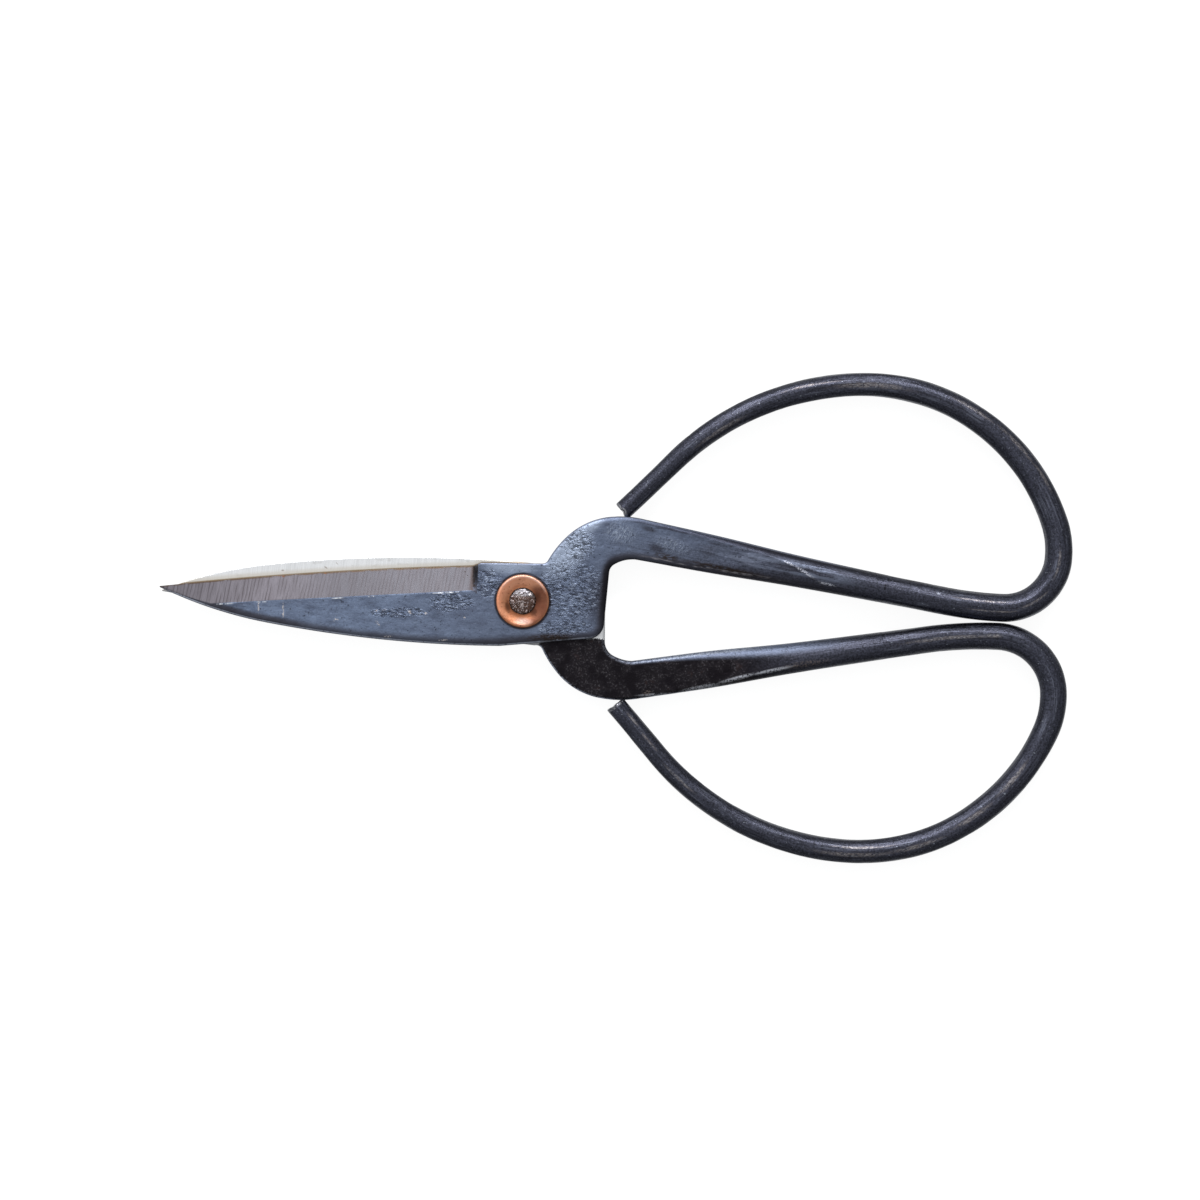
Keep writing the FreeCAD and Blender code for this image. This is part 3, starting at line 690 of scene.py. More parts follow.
def washer(name, node, seed, material):
    """A dished copper washer, its rim a little uneven from hammering."""
    low, high = (corner.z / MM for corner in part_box(node))
    rise = high - low
    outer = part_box(node)[1].x / MM
    fine = []
    for here, there in zip(WASHER_CURVE, WASHER_CURVE[1:]):
        middle = [h + 0.5 * (t - h) for h, t in zip(here, there)]
        fine += [here, middle]
    fine.append(WASHER_CURVE[-1])
    profile = [(radius * outer / WASHER_NOMINAL[0], height * rise / WASHER_NOMINAL[1])
               for radius, height in fine]

    def lumps(point):
        spot = Vector((point[0] / WAVE_SIZE, point[1] / WAVE_SIZE, seed))
        reach = min(1.0, max(0.0, (math.hypot(point[0], point[1]) - WAVE_START) / WAVE_GROWTH))
        point[2] += WAVE_DEPTH * noise.noise(spot) * reach * (point[2] > FLAT_UNDER)
        spot = Vector((point[0] / SWELL_SIZE, point[1] / SWELL_SIZE, seed + 4))
        point[:2] *= 1 + SWELL_SHARE * noise.noise(spot) * reach

    points, faces = turned(profile[::-1], WASHER_AROUND, lumps)
    if low < MIDDLE:
        points[:, 1:] *= -1
        points[:, 2] += high
    else:
        points[:, 2] += low
    return add_piece(name, points, faces.tolist(), "front_half", node, [material], WASHER_CREASE)


SHANK_RADIUS = 2.0
HEAD_RISE = 0.95
HEAD_SAG = 0.42        # share of the rise by which the head falls from its middle to its rim
HEAD_SIDE = [(1.0, 0.6), (0.99, 0.8)]   # radius and depth under the crown, as shares
HEAD_ROOT = (0.95, 0.02)                # share of the radius, and height over the head's underside
HEAD_RINGS = 26
HEAD_AROUND = 120
HEAD_CREASE = 24.0
HEAD_TOP = (0.14, 0.13)   # the facets lie this far under the highest place, and rise at most this much
RIM_DROP = (0.86, 0.25, 0.14)   # the rim falls from this share of the radius, by so many mm, over this share
SIDE_START = 0.9          # the side is uneven from this share of the radius
SIDE_UNEVEN = 0.03
SIDE_SINK = 0.015
SIDE_GRAIN = (1.3, 2)     # across and along the rivet
FACETS = 26
FACET_HEIGHT = 0.10       # how much the blows differ in depth
FACET_DOME = -0.060       # how the facets fall away from the middle,
FACET_TILT = -0.12        # and how each one tilts
FACET_RISE = 0.12
GRIT_SIZE = 0.7
GRIT_DEPTH = 0.05
GRIT_SINK = 0.03
GRIT_SEED = 3.0           # times the sign of the head's side


def rivet(material):
    """The rivet: a shank between two heads that were peened over with many small blows."""
    low, high = (corner.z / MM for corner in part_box("pivot_rivet"))
    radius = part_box("pivot_rivet")[1].x / MM
    half = (high - low) / 2
    under = half - HEAD_RISE
    profile = []
    for ring in range(1, HEAD_RINGS + 1):
        out = radius * math.sin(math.pi / 2 * ring / HEAD_RINGS)
        profile.append((out, half - HEAD_RISE * HEAD_SAG * (out / radius) ** 3))
    profile += [(radius * out, half - HEAD_RISE * depth) for out, depth in HEAD_SIDE]
    profile += [(radius * HEAD_ROOT[0], under + HEAD_ROOT[1]), (SHANK_RADIUS, under)]
    whole = profile + [(out, -height) for out, height in reversed(profile)]
    draw = random.Random(11)
    facets = []
    for _ in range(FACETS):
        angle, out = draw.uniform(0, 2 * math.pi), radius * math.sqrt(draw.uniform(0.0, 1.0))
        lift = draw.uniform(-FACET_HEIGHT, FACET_HEIGHT)
        facets.append((out * math.cos(angle), out * math.sin(angle), lift))

    def peened(x, y, seed):
        """Height of the hammered head: flat facets that meet in ridges and small crevices."""
        best = math.inf
        for facet_x, facet_y, height in facets:
            dome = FACET_DOME * (facet_x * facet_x + facet_y * facet_y)
            tilt = FACET_TILT * (facet_x * (x - facet_x) + facet_y * (y - facet_y))
            best = min(best, dome + tilt + height + FACET_RISE)
        return best + (GRIT_DEPTH * noise.noise(Vector((x / GRIT_SIZE, y / GRIT_SIZE, seed))) - GRIT_SINK)

    def lumps(point):
        x, y, z = point
        reach = math.hypot(x, y) / radius
        if abs(z) > half - HEAD_RISE * 0.5:
            sign = 1 if z > 0 else -1
            height = half - HEAD_TOP[0] + min(HEAD_TOP[1], peened(x, y * sign, sign * GRIT_SEED))
            point[2] = sign * (height - RIM_DROP[1] * max(0.0, reach - RIM_DROP[0]) / RIM_DROP[2])
        if reach > SIDE_START and abs(z) > under + 0.01:
            uneven = noise.noise(Vector((x / SIDE_GRAIN[0], y / SIDE_GRAIN[0], z / SIDE_GRAIN[1])))
            point[:2] *= 1 + SIDE_UNEVEN * uneven - SIDE_SINK

    points, faces = turned(whole[::-1], HEAD_AROUND, lumps)
    ends = [list(range(HEAD_AROUND))[::-1], list(range(len(points) - HEAD_AROUND, len(points)))]
    between_ends = faces[:(len(whole) - 1) * HEAD_AROUND].tolist()
    points[:, 2] += (low + high) / 2
    return add_piece("peened_rivet", points, between_ends + ends, "front_half", "pivot_rivet",
                     [material], HEAD_CREASE)


# --- materials ----------------------------------------------------------------------------------

ARM_LEAN = 2.5       # how far the black skin of the arm's lower side runs ahead of its middle's
MARK_HEIGHT = 6.5    # marks are centred at this height, in millimetres,
MARK_REACH = 5.0     # and fade out this far above and below it


class Paint:
    """Short ways to build one metal's node tree. Sizes are in millimetres."""

    def __init__(self, name, colour, roughness):
        self.material = bpy.data.materials.new(name)
        self.material.use_nodes = True
        self.tree = self.material.node_tree
        self.shader = self.tree.nodes["Principled BSDF"]
        self.shader.inputs["Metallic"].default_value = 1.0
        self.colour = colour
        self.roughness = roughness
        self.relief = []
        self.place = self.scaled(self.add("TexCoord").outputs["Object"], (1 / MM,) * 3)

    def add(self, kind, inputs=None, **settings):
        node = self.tree.nodes.new("ShaderNode" + kind)
        for key, setting in settings.items():
            setattr(node, key, setting)
        for key, value in (inputs or {}).items():
            self.put(node.inputs[key], value)
        return node

    def put(self, socket, value):
        if isinstance(value, bpy.types.NodeSocket):
            self.tree.links.new(value, socket)
        elif socket.type == "RGBA" and len(value) == 3:
            socket.default_value = (*value, 1.0)
        else:
            socket.default_value = value

    def scaled(self, vector, factors):
        return self.add("VectorMath", {0: vector, 1: factors}, operation="MULTIPLY").outputs["Vector"]

    def spun(self, vector, degrees):
        """The place in axes that are turned about Z."""
        return self.add("VectorRotate", {"Vector": vector, "Angle": math.radians(-degrees)},
                        rotation_type="Z_AXIS").outputs["Vector"]

    def attribute(self, name, output="Fac"):
        return self.add("Attribute", attribute_name=name).outputs[output]

    def parts(self, vector):
        return list(self.add("SeparateXYZ", {0: vector}).outputs)

    def noise(self, where, size, detail=3.0, rough=0.55, twist=0.0):
        """Noise of a size, or of three sizes along the axes."""
        sizes = size if isinstance(size, tuple) else (size,) * 3
        spot = self.scaled(where, tuple(1 / s for s in sizes))
        return self.add("TexNoise", {"Vector": spot, "Scale": 1.0, "Detail": detail, "Roughness": rough,
                                     "Distortion": twist}).outputs["Fac"]

    def ramp(self, value, low, high, to_low=0.0, to_high=1.0):
        return self.add("MapRange", {"Value": value, "From Min": low, "From Max": high, "To Min": to_low,
                                     "To Max": to_high}, interpolation_type="SMOOTHSTEP").outputs["Result"]

    def sum(self, operation, first, second=0.0):
        return self.add("Math", {0: first, 1: second}, operation=operation).outputs[0]

    def both(self, *values):
        result = values[0]
        for value in values[1:]:
            result = self.sum("MULTIPLY", result, value)
        return result

    def either(self, *values):
        result = values[0]
        for value in values[1:]:
            result = self.sum("MAXIMUM", result, value)
        return result

    def near(self, value, centre, reach):
        """1 where a value is close to a centre, 0 from a reach away."""
        gap = self.sum("ABSOLUTE", self.sum("SUBTRACT", value, centre))
        return self.ramp(gap, reach, 0.25 * reach)

    def wrinkles(self, where, size, width=0.035):
        """Thin winding lines, broken into short pieces."""
        line = self.near(self.noise(where, size, detail=2, rough=0.6, twist=0.6), 0.5, width)
        broken = self.ramp(self.noise(where, 0.9, detail=1), 0.42, 0.56)
        return self.both(line, broken)

    def blot(self, x, y, long, wide, angle=0.0, where=None, height=MARK_HEIGHT):
        """A mask of one mark, 1 at its middle and 0 at its rim, on the side seen from the front."""
        where = where or self.place
        node = self.add("Mapping", {"Vector": where, "Location": (x, y, height),
                                    "Rotation": (0, 0, math.radians(angle)),
                                    "Scale": (long, wide, MARK_REACH)}, vector_type="TEXTURE")
        length = self.add("VectorMath", {0: node.outputs[0]}, operation="LENGTH").outputs["Value"]
        return self.ramp(length, 1.0, 0.3)

    def marks(self, table):
        """Many marks as one mask."""
        return self.either(*[self.blot(*row) for row in table])

    def mixed(self, share, first, second):
        """A blend of two colours."""
        node = self.add("Mix", data_type="RGBA")
        for key, value in (("Factor", share), (6, first), (7, second)):
            self.put(node.inputs[key], value)
        return node.outputs[2]

    def tint(self, colour, *shares):
        """Blends the colour towards another, by the product of the shares."""
        self.colour = self.mixed(self.both(*shares), self.colour, colour)

    def gloss(self, roughness, *shares):
        """Blends the roughness towards another, by the product of the shares."""
        node = self.add("Mix", data_type="FLOAT")
        self.put(node.inputs["Factor"], self.both(*shares))
        self.put(node.inputs[2], self.roughness)
        self.put(node.inputs[3], roughness)
        self.roughness = node.outputs[0]

    def height(self, depth, *shares):
        """Adds relief of a depth in millimetres, times the shares."""
        self.relief.append(self.sum("MULTIPLY", self.both(*shares), depth * MM))

    def finish(self):
        self.put(self.shader.inputs["Base Color"], self.colour)
        self.put(self.shader.inputs["Roughness"], self.roughness)
        total = self.relief[0]
        for height in self.relief[1:]:
            total = self.sum("ADD", total, height)
        bump = self.add("Bump", {"Height": total, "Strength": 1.0, "Distance": 1.0})
        self.put(self.shader.inputs["Normal"], bump.outputs["Normal"])
        return self.material


# Marks on the front: x, y, half-length, half-width and angle.
BRIGHT_NICKS = [(-32.0, -3.4, 0.7, 0.3, 25), (-30.2, -3.2, 0.8, 0.3, 20), (-24.5, -3.4, 0.7, 0.45, -40),
                (-21.0, -3.5, 0.5, 0.3, 0), (-12.5, -4.1, 0.35, 0.3, 0), (-31.4, -6.1, 0.9, 0.3, -50),
                (-40.6, -5.7, 0.9, 0.4, 10), (-28.3, 0.5, 0.3, 0.3, 0), (-29.0, -8.9, 1.2, 0.25, 5),
                (-17.0, -9.2, 1.4, 0.25, 5), (-52.2, -4.0, 0.3, 2.4, 3), (-57.6, -3.4, 0.25, 2.0, 3)]
PITTED = [(-15.5, -0.9, 7.0, 3.0, 4), (-7.8, 3.6, 4.4, 4.6, 0), (10.5, 3.0, 10.0, 10.0, 20),
          (11.8, 12.6, 5.0, 5.0, 40), (9.0, -5.6, 8.0, 3.2, 8), (-27.0, -3.6, 9.0, 1.6, 3)]
BROWN_WEAR = [(6.5, -7.8, 7.5, 1.3, 3), (31.0, 10.9, 4.0, 1.0, -9), (44.0, 8.7, 14.0, 0.9, -9)]
PALE_SPOTS = [(20.8, 15.6, 4.6, 3.4, -10), (32.4, 13.2, 5.6, 2.2, -14)]
# Pale patches of the blueing, partly a painted highlight where the flat top and the shoulder face the light.
PALE_PATCHES_AND_HIGHLIGHTS = [(9.0, 11.4, 5.6, 9.5, -38), (-3.0, 8.0, 9.0, 3.2, 0), (13.0, 16.6, 6.0, 2.4, 30)]
# Dark patches: painted shade along the throat and along the spine below the shoulder, and real dark blotches
# on the arm.
DARK_PATCHES_AND_SHADE = [(18.2, 0.6, 6.0, 11.0, 0), (22.0, 9.2, 6.0, 2.6, -10), (3.0, -8.6, 22.0, 2.2, 3),
                (26.8, 16.8, 2.6, 0.9, -15), (28.6, 12.6, 2.6, 1.4, -20)]
# Painted highlights on the border between the flat and the bevel.
BORDER_HIGHLIGHTS = [(-65.2, -3.1, 2.6, 0.8, 5), (-57.0, -2.4, 1.4, 0.8, 5), (-40.4, -0.9, 1.8, 0.8, 5),
                (-33.0, -0.2, 1.0, 0.8, 5), (-17.0, 1.3, 4.4, 0.8, 5)]
# Painted highlights on the hammer's ridges of the arm.
RIDGE_HIGHLIGHTS = [(57.6, 10.6, 1.8, 0.4, -25), (61.2, 8.7, 3.2, 0.5, -31), (66.0, 6.4, 2.8, 0.4, -12)]

ROD_ROUGHNESS = (0.26, 0.38)   # where the fine noise is low, and where it is high


def oxide(paint):
    """The black skin that arms and rods share: speckled, with streaks along the rod."""
    fine = paint.noise(paint.place, 0.42, detail=5, rough=0.65)
    streaks = paint.noise(paint.grain, (11.0, 0.4, 0.4), detail=4, rough=0.6)
    black = paint.mixed(paint.ramp(fine, 0.3, 0.7), (0.024, 0.025, 0.032), (0.068, 0.071, 0.098))
    return fine, streaks, black


def forged_steel(name, marked):
    """Blued forging: soft blotches, fine scale, wrinkles round the shoulder, painted shade along the rolled
    edge and the throat, and painted highlights on the rims, ridges and arm.
    """
    paint = Paint(name, (0.098, 0.122, 0.182), 0.36)
    place, low = paint.place, paint.attribute("low_mm")
    paint.grain = paint.attribute("grain", "Vector")
    x = paint.parts(place)[0]
    along, side, _ = paint.parts(paint.grain)
    blotch = paint.noise(place, (5.0, 2.0, 4.0), detail=5, rough=0.65)
    streak = paint.noise(place, (1.4, 0.22, 1.0), detail=4, rough=0.7)
    fine, streaks, black = oxide(paint)
    paint.tint((0.145, 0.182, 0.265), paint.ramp(blotch, 0.36, 0.64))
    paint.tint((0.07, 0.08, 0.115), paint.ramp(blotch, 0.42, 0.3, 0, 0.5))
    paint.tint((0.22, 0.26, 0.35), paint.ramp(streak, 0.52, 0.75, 0, 0.6))
    paint.tint((0.05, 0.056, 0.08), paint.ramp(fine, 0.5, 0.25, 0, 0.6))
    paint.tint((0.085, 0.096, 0.135), paint.ramp(x, -36.0, -8.0, 0, 0.35))
    rumple = paint.noise(place, (0.95, 0.42, 0.8), detail=3, rough=0.6, twist=0.5)
    if marked:
        # Pale blueing, partly a painted highlight on the flat top and the shoulder.
        paint.tint((0.3, 0.35, 0.45), paint.marks(PALE_PATCHES_AND_HIGHLIGHTS), 0.85)
        dashes = paint.noise(paint.spun(place, 65.0), (0.75, 0.2, 1.0), detail=4, rough=0.65)
        spots = paint.both(paint.marks(PALE_SPOTS), paint.ramp(dashes, 0.46, 0.62))
        paint.tint((0.3, 0.345, 0.43), spots, 0.7)
        paint.height(0.16, dashes, paint.marks(PALE_SPOTS))
        # Painted shade at the throat and along the spine, and dark blotches on the arm.
        paint.tint((0.03, 0.03, 0.04), paint.marks(DARK_PATCHES_AND_SHADE), 0.75)
        ragged = paint.noise(place, 1.6, detail=4, rough=0.65)
        pitted = paint.ramp(paint.sum("ADD", paint.marks(PITTED), ragged), 0.62, 1.15)
    else:
        pitted = paint.ramp(paint.noise(place, 9.0, detail=1), 0.45, 0.6)
    lean = paint.both(side, paint.ramp(along, -62.0, -48.0, 0, -ARM_LEAN))
    reach = paint.sum("ADD", paint.sum("ADD", along, lean), paint.ramp(blotch, 0, 1, -20.0, 20.0))
    to_black = paint.ramp(reach, -68.0, -16.0)
    paint.tint(black, to_black)
    upper = paint.attribute("high_mm")
    before_weld = paint.ramp(x, 77.0, 64.0)
    shaded = paint.both(paint.ramp(upper, 2.6, 1.0), paint.ramp(x, 26.0, 56.0), paint.ramp(x, 79.0, 74.0))
    paint.tint((0.03, 0.031, 0.042), shaded, 0.75)
    long_streaks = paint.noise(paint.grain, (9.0, 0.9, 0.9), detail=4, rough=0.6)
    # A painted highlight along the middle of the arm, broken into streaks.
    arm_middle_highlight = paint.both(paint.near(side, 0.5, 2.4), paint.ramp(long_streaks, 0.42, 0.6),
                      paint.ramp(x, 38.0, 50.0))
    paint.tint((0.15, 0.17, 0.23), arm_middle_highlight, before_weld, 0.75)
    dark = paint.both(paint.ramp(long_streaks, 0.45, 0.34), paint.ramp(x, 20.0, 30.0), before_weld)
    paint.tint((0.03, 0.031, 0.042), dark, 0.6)

    creases = paint.both(paint.wrinkles(place, (1.7, 0.75, 1.2)), pitted, 0.7)
    sunk = paint.either(paint.both(paint.ramp(rumple, 0.45, 0.37), pitted), creases)
    # The raised tops of the wrinkled skin get a painted highlight. Its hollows are darker.
    raised_highlight = paint.both(paint.ramp(rumple, 0.55, 0.68), pitted)
    sunk = paint.either(sunk, paint.ramp(paint.noise(place, 0.7, detail=2), 0.66, 0.72))
    paint.tint((0.028, 0.03, 0.041), sunk, 0.75)
    paint.tint((0.32, 0.37, 0.47), raised_highlight, 0.6)

    # Painted shade along the rolled lower edge, deepest on the blade between x -42 and -54.
    paint.tint((0.042, 0.04, 0.05), paint.ramp(low, 2.2, 0.8), before_weld, 0.72)
    paint.tint((0.03, 0.026, 0.03), paint.ramp(low, 1.9, 1.2), paint.ramp(x, -42.0, -54.0), 0.6)
    # A painted highlight on the outermost edge of the lower side, up to the throat.
    last = paint.both(paint.near(low, 0.24, 0.24), paint.ramp(fine, 0.3, 0.5), paint.ramp(x, 17.0, 14.0))
    paint.tint((0.42, 0.45, 0.54), last, 0.8)
    # Painted shade along the arm's upper edge.
    top_edge_shade = paint.both(paint.near(upper, 0.75, 0.6), paint.ramp(x, 19.0, 26.0), before_weld)
    paint.tint((0.022, 0.021, 0.03), top_edge_shade, 0.65)
    # A painted highlight on the outermost edge of the upper side.
    paint.tint((0.2, 0.22, 0.3), paint.near(upper, 0.2, 0.2), before_weld, 0.7)
    if marked:
        # Painted shade along the rolled throat edge.
        throat = paint.both(paint.ramp(low, 2.0, 0.9), paint.blot(18.4, 3.0, 3.6, 13.0, 0))
        paint.tint((0.013, 0.012, 0.015), throat, 0.92)
        flat_place = paint.scaled(place, (1, 1, 0))
        out = paint.add("VectorMath", {0: flat_place}, operation="LENGTH").outputs["Value"]
        # A painted shadow round the washer's rim, broken by blotches.
        ring = paint.both(paint.near(out, 6.0, 0.38), paint.ramp(blotch, 0.35, 0.5, 0.4, 0.9))
        paint.tint((0.028, 0.022, 0.026), ring)
        patchy = paint.ramp(paint.noise(place, (0.9, 0.35, 1), detail=4), 0.36, 0.5)
        paint.tint((0.026, 0.02, 0.018), paint.marks(BROWN_WEAR), patchy, 0.95)
        broken = paint.ramp(paint.noise(place, 0.3, detail=3), 0.44, 0.56)
        paint.tint((0.5, 0.46, 0.45), paint.marks(BRIGHT_NICKS), broken)
        # Painted highlights on the arm's ridges.
        paint.tint((0.45, 0.46, 0.52), paint.marks(RIDGE_HIGHLIGHTS), broken, 0.9)
        worn = paint.ramp(paint.noise(paint.grain, (2.5, 0.5, 1), detail=4), 0.42, 0.58)
        worn = paint.both(worn, paint.near(low, 0.95, 0.35), paint.ramp(x, 24.0, 30.0),
                          paint.ramp(x, 64.0, 44.0))
        paint.tint((0.25, 0.24, 0.26), worn, 0.75)
        # Painted highlights along the bevel's border, broken into dashes.
        border = paint.near(paint.attribute("border_mm"), -0.1, 0.18)
        broken = paint.ramp(paint.noise(place, (0.7, 9, 9), detail=5, rough=0.7), 0.4, 0.6)
        paint.tint((0.62, 0.64, 0.68), border, paint.marks(BORDER_HIGHLIGHTS), broken)
        paint.tint((0.012, 0.012, 0.015), paint.blot(78.8, 6.2, 0.35, 1.2, -12), 0.9)
    paint.height(0.4, paint.sum("SUBTRACT", rumple, 0.5), pitted)
    paint.height(-0.08, creases)
    paint.height(0.04, fine)
    paint.height(0.02, streak)
    paint.height(0.12, paint.noise(place, 1.9, detail=2))
    paint.height(0.08, streaks, to_black)
    paint.gloss(0.48, paint.ramp(fine, 0.25, 0.75))
    paint.gloss(0.6, sunk)
    paint.gloss(paint.ramp(fine, 0.25, 0.75, *ROD_ROUGHNESS), paint.ramp(along, -20.0, -3.0))
    return paint.finish()


def ground_bevel():
    """The ground bevel: grinding lines across the blade, brown tarnish along the edge, and painted shade
    towards the blade's root.
    """
    paint = Paint("ground_bevel_steel", (0.135, 0.125, 0.142), 0.38)
    place, rim = paint.place, paint.attribute("high_mm")
    x = paint.parts(place)[0]
    leaning = paint.spun(place, -8.0)
    ridges = paint.add("TexWave", {"Vector": leaning, "Scale": 0.42, "Distortion": 2.2, "Detail": 3.0,
                                   "Detail Scale": 0.5, "Detail Roughness": 0.6}).outputs["Fac"]
    lines = paint.noise(leaning, (0.13, 4.0, 3.0), detail=3, rough=0.7)
    coarse = paint.noise(leaning, (0.5, 7.0, 3.0), detail=2)
    to_tip = paint.ramp(x, -40.0, -66.0)
    # Painted shade, darker towards the blade's root where the bevel is steeper.
    paint.tint((0.083, 0.081, 0.092), paint.ramp(x, -58.0, -36.0))
    paint.tint((0.068, 0.06, 0.066), paint.ramp(coarse, 0.4, 0.62, 0, 0.3))
    paint.tint((0.05, 0.044, 0.049), paint.ramp(lines, 0.55, 0.32, 0, 0.4))
    dark_line = paint.both(paint.ramp(ridges, 0.3, 0.1), paint.ramp(coarse, 0.35, 0.55))
    paint.tint((0.04, 0.034, 0.037), dark_line, paint.ramp(to_tip, 0, 1, 0.3, 0.5))

    patchy = paint.ramp(paint.noise(place, (2.2, 1, 1), detail=4), 0.3, 0.55)
    paint.tint((0.07, 0.045, 0.028), paint.ramp(rim, 0.4, 0.1), patchy, 0.85)
    rust = paint.marks([(-53.4, 3.6, 1.0, 0.45, 5), (-52.6, 3.3, 0.5, 0.3, -20), (-43.6, 4.5, 0.7, 0.3, -35)])
    paint.tint((0.12, 0.05, 0.02), rust, 0.85)
    specks = paint.marks([(-42.6, 4.7, 0.5, 0.2, -30), (-12.9, 5.9, 0.25, 0.2, 0),
                          (-12.3, 5.1, 0.2, 0.16, 40), (-13.1, 4.7, 0.16, 0.16, 0),
                          (-60.5, -3.2, 0.5, 0.3, 70)])
    paint.tint((0.03, 0.024, 0.022), specks)
    ragged = paint.ramp(paint.noise(place, 0.9, detail=4), 0.3, 0.7, -0.7, 0.7)
    paint.tint((0.045, 0.034, 0.033), paint.ramp(x, -12.0, -11.2, 0, 0.8))
    paint.tint((0.085, 0.092, 0.125), paint.ramp(paint.sum("ADD", x, ragged), -10.9, -10.3, 0, 0.85))
    paint.height(0.01, lines)
    paint.height(0.006, ridges)
    paint.gloss(0.46, paint.ramp(lines, 0.3, 0.7))
    return paint.finish()


def inner_face():
    """The inner side: a bright ground face with a painted shadow along the other half's edge, and black forge
    scale beyond it on the arm with painted highlights along its rims.
    """
    paint = Paint("inner_ground_and_scale", (0.7, 0.705, 0.715), 0.34)
    place, low = paint.place, paint.attribute("low_mm")
    paint.grain = paint.attribute("grain", "Vector")
    along = paint.parts(paint.grain)[0]
    leaning = paint.spun(place, -4.0)
    lines = paint.noise(leaning, (0.16, 6.0, 3.0), detail=3, rough=0.65)
    paint.tint((0.57, 0.575, 0.58), paint.ramp(lines, 0.6, 0.3, 0, 0.8))
    paint.tint((0.46, 0.46, 0.45), paint.ramp(paint.noise(place, (3.0, 1.2, 2), detail=4), 0.58, 0.7, 0,
                                              0.5))
    covered = paint.both(paint.ramp(paint.attribute("open_mm"), 0.2, -0.6),
                         paint.ramp(paint.parts(place)[0], 13.5, 10.5))
    paint.tint((0.2, 0.205, 0.22), covered, paint.ramp(lines, 0.3, 0.6, 0.8, 0.95))
    contact = paint.attribute("contact_mm")
    # A painted shadow along the other half's edge, browner at the very edge.
    paint.tint((0.53, 0.49, 0.43), paint.ramp(contact, 1.5, 0.5, 0, 0.7))
    paint.tint((0.22, 0.15, 0.08), paint.ramp(contact, 0.4, 0.1, 0, 0.9))
    specks = paint.marks([(-43.4, 5.6, 0.7, 0.25, -35), (-41.0, 6.6, 0.6, 0.12, -50),
                          (-52.8, 4.6, 0.5, 0.3, 0)])
    paint.tint((0.2, 0.15, 0.11), specks, 0.7)

    fine, streaks, black = oxide(paint)
    reach = paint.sum("ADD", paint.attribute("ground_mm"), paint.ramp(fine, 0, 1, -0.3, 0.3))
    scale = paint.ramp(reach, 0.25, -0.15)
    cloud = paint.noise(place, 2.6, detail=4, rough=0.6)
    speckle = paint.both(paint.ramp(fine, 0.52, 0.64), paint.ramp(cloud, 0.38, 0.6))
    dark = paint.mixed(paint.ramp(cloud, 0.35, 0.62), (0.0105, 0.009, 0.011), (0.0165, 0.0145, 0.017))
    dark = paint.mixed(paint.both(speckle, 0.8), dark, (0.07, 0.065, 0.072))
    dark = paint.mixed(paint.ramp(cloud, 0.6, 0.75, 0, 0.5), dark, (0.035, 0.02, 0.018))
    rod_like = paint.ramp(along, -34.0, -14.0)
    paint.tint(paint.mixed(rod_like, dark, black), scale)
    broken = paint.ramp(paint.noise(place, 0.45, detail=4), 0.38, 0.52)
    x = paint.parts(place)[0]
    # A painted highlight band along the arm's low side.
    arm_highlight_band = paint.ramp(paint.sum("DIVIDE", low, paint.ramp(x, 24.0, 56.0, 1.1, 3.0)), 1.0, 0.25)
    arm_highlight_band = paint.both(arm_highlight_band, scale, paint.ramp(x, 19.0, 30.0), paint.ramp(x, 76.0, 56.0))
    paint.tint((0.145, 0.17, 0.24), arm_highlight_band, paint.ramp(fine, 0.25, 0.5), 0.85)
    # A painted highlight on the rim of the arm's low side, broken.
    rim = paint.both(paint.ramp(low, 0.9, 0.4), scale, paint.ramp(x, 21.0, 36.0, 0.25, 1.0))
    rim = paint.both(rim, paint.ramp(x, 58.0, 44.0), broken)
    paint.tint((0.3, 0.33, 0.4), rim, 0.85)
    # A painted highlight on the rim of the arm's high side.
    outer_rim_highlight = paint.both(paint.ramp(paint.attribute("high_mm"), 0.4, 0.1), scale)
    outer_rim_highlight = paint.both(outer_rim_highlight, broken, paint.ramp(x, 56.0, 32.0))
    paint.tint((0.3, 0.33, 0.41), outer_rim_highlight, 0.8)
    # Painted highlight lines near the arm's lower outline, as seen from the front.
    lower_outline_highlights = paint.marks([(30.0, -19.3, 6.0, 0.5, 5), (39.5, -17.4, 6.0, 0.7, 13), (47.5, -15.0, 5.5, 0.6, 17),
                         (55.0, -13.0, 6.0, 0.55, 14)])
    paint.tint((0.36, 0.37, 0.41), lower_outline_highlights, scale, broken, 0.95)
    wear = paint.marks([(62.5, -11.2, 7.0, 1.0, 11), (28.0, -19.0, 1.6, 1.2, 0)])
    paint.tint((0.13, 0.105, 0.095), wear, scale, paint.ramp(fine, 0.45, 0.6), 0.8)
    paint.height(0.004, lines, paint.ramp(scale, 1, 0))
    paint.height(0.06, fine, scale)
    paint.height(0.12, cloud, scale)
    paint.height(0.08, streaks, rod_like)
    paint.gloss(0.42, paint.ramp(lines, 0.3, 0.7))
    paint.gloss(paint.ramp(fine, 0.25, 0.75, 0.34, 0.5), scale)
    paint.gloss(paint.ramp(fine, 0.25, 0.75, *ROD_ROUGHNESS), paint.ramp(along, -20.0, -3.0))
    return paint.finish()


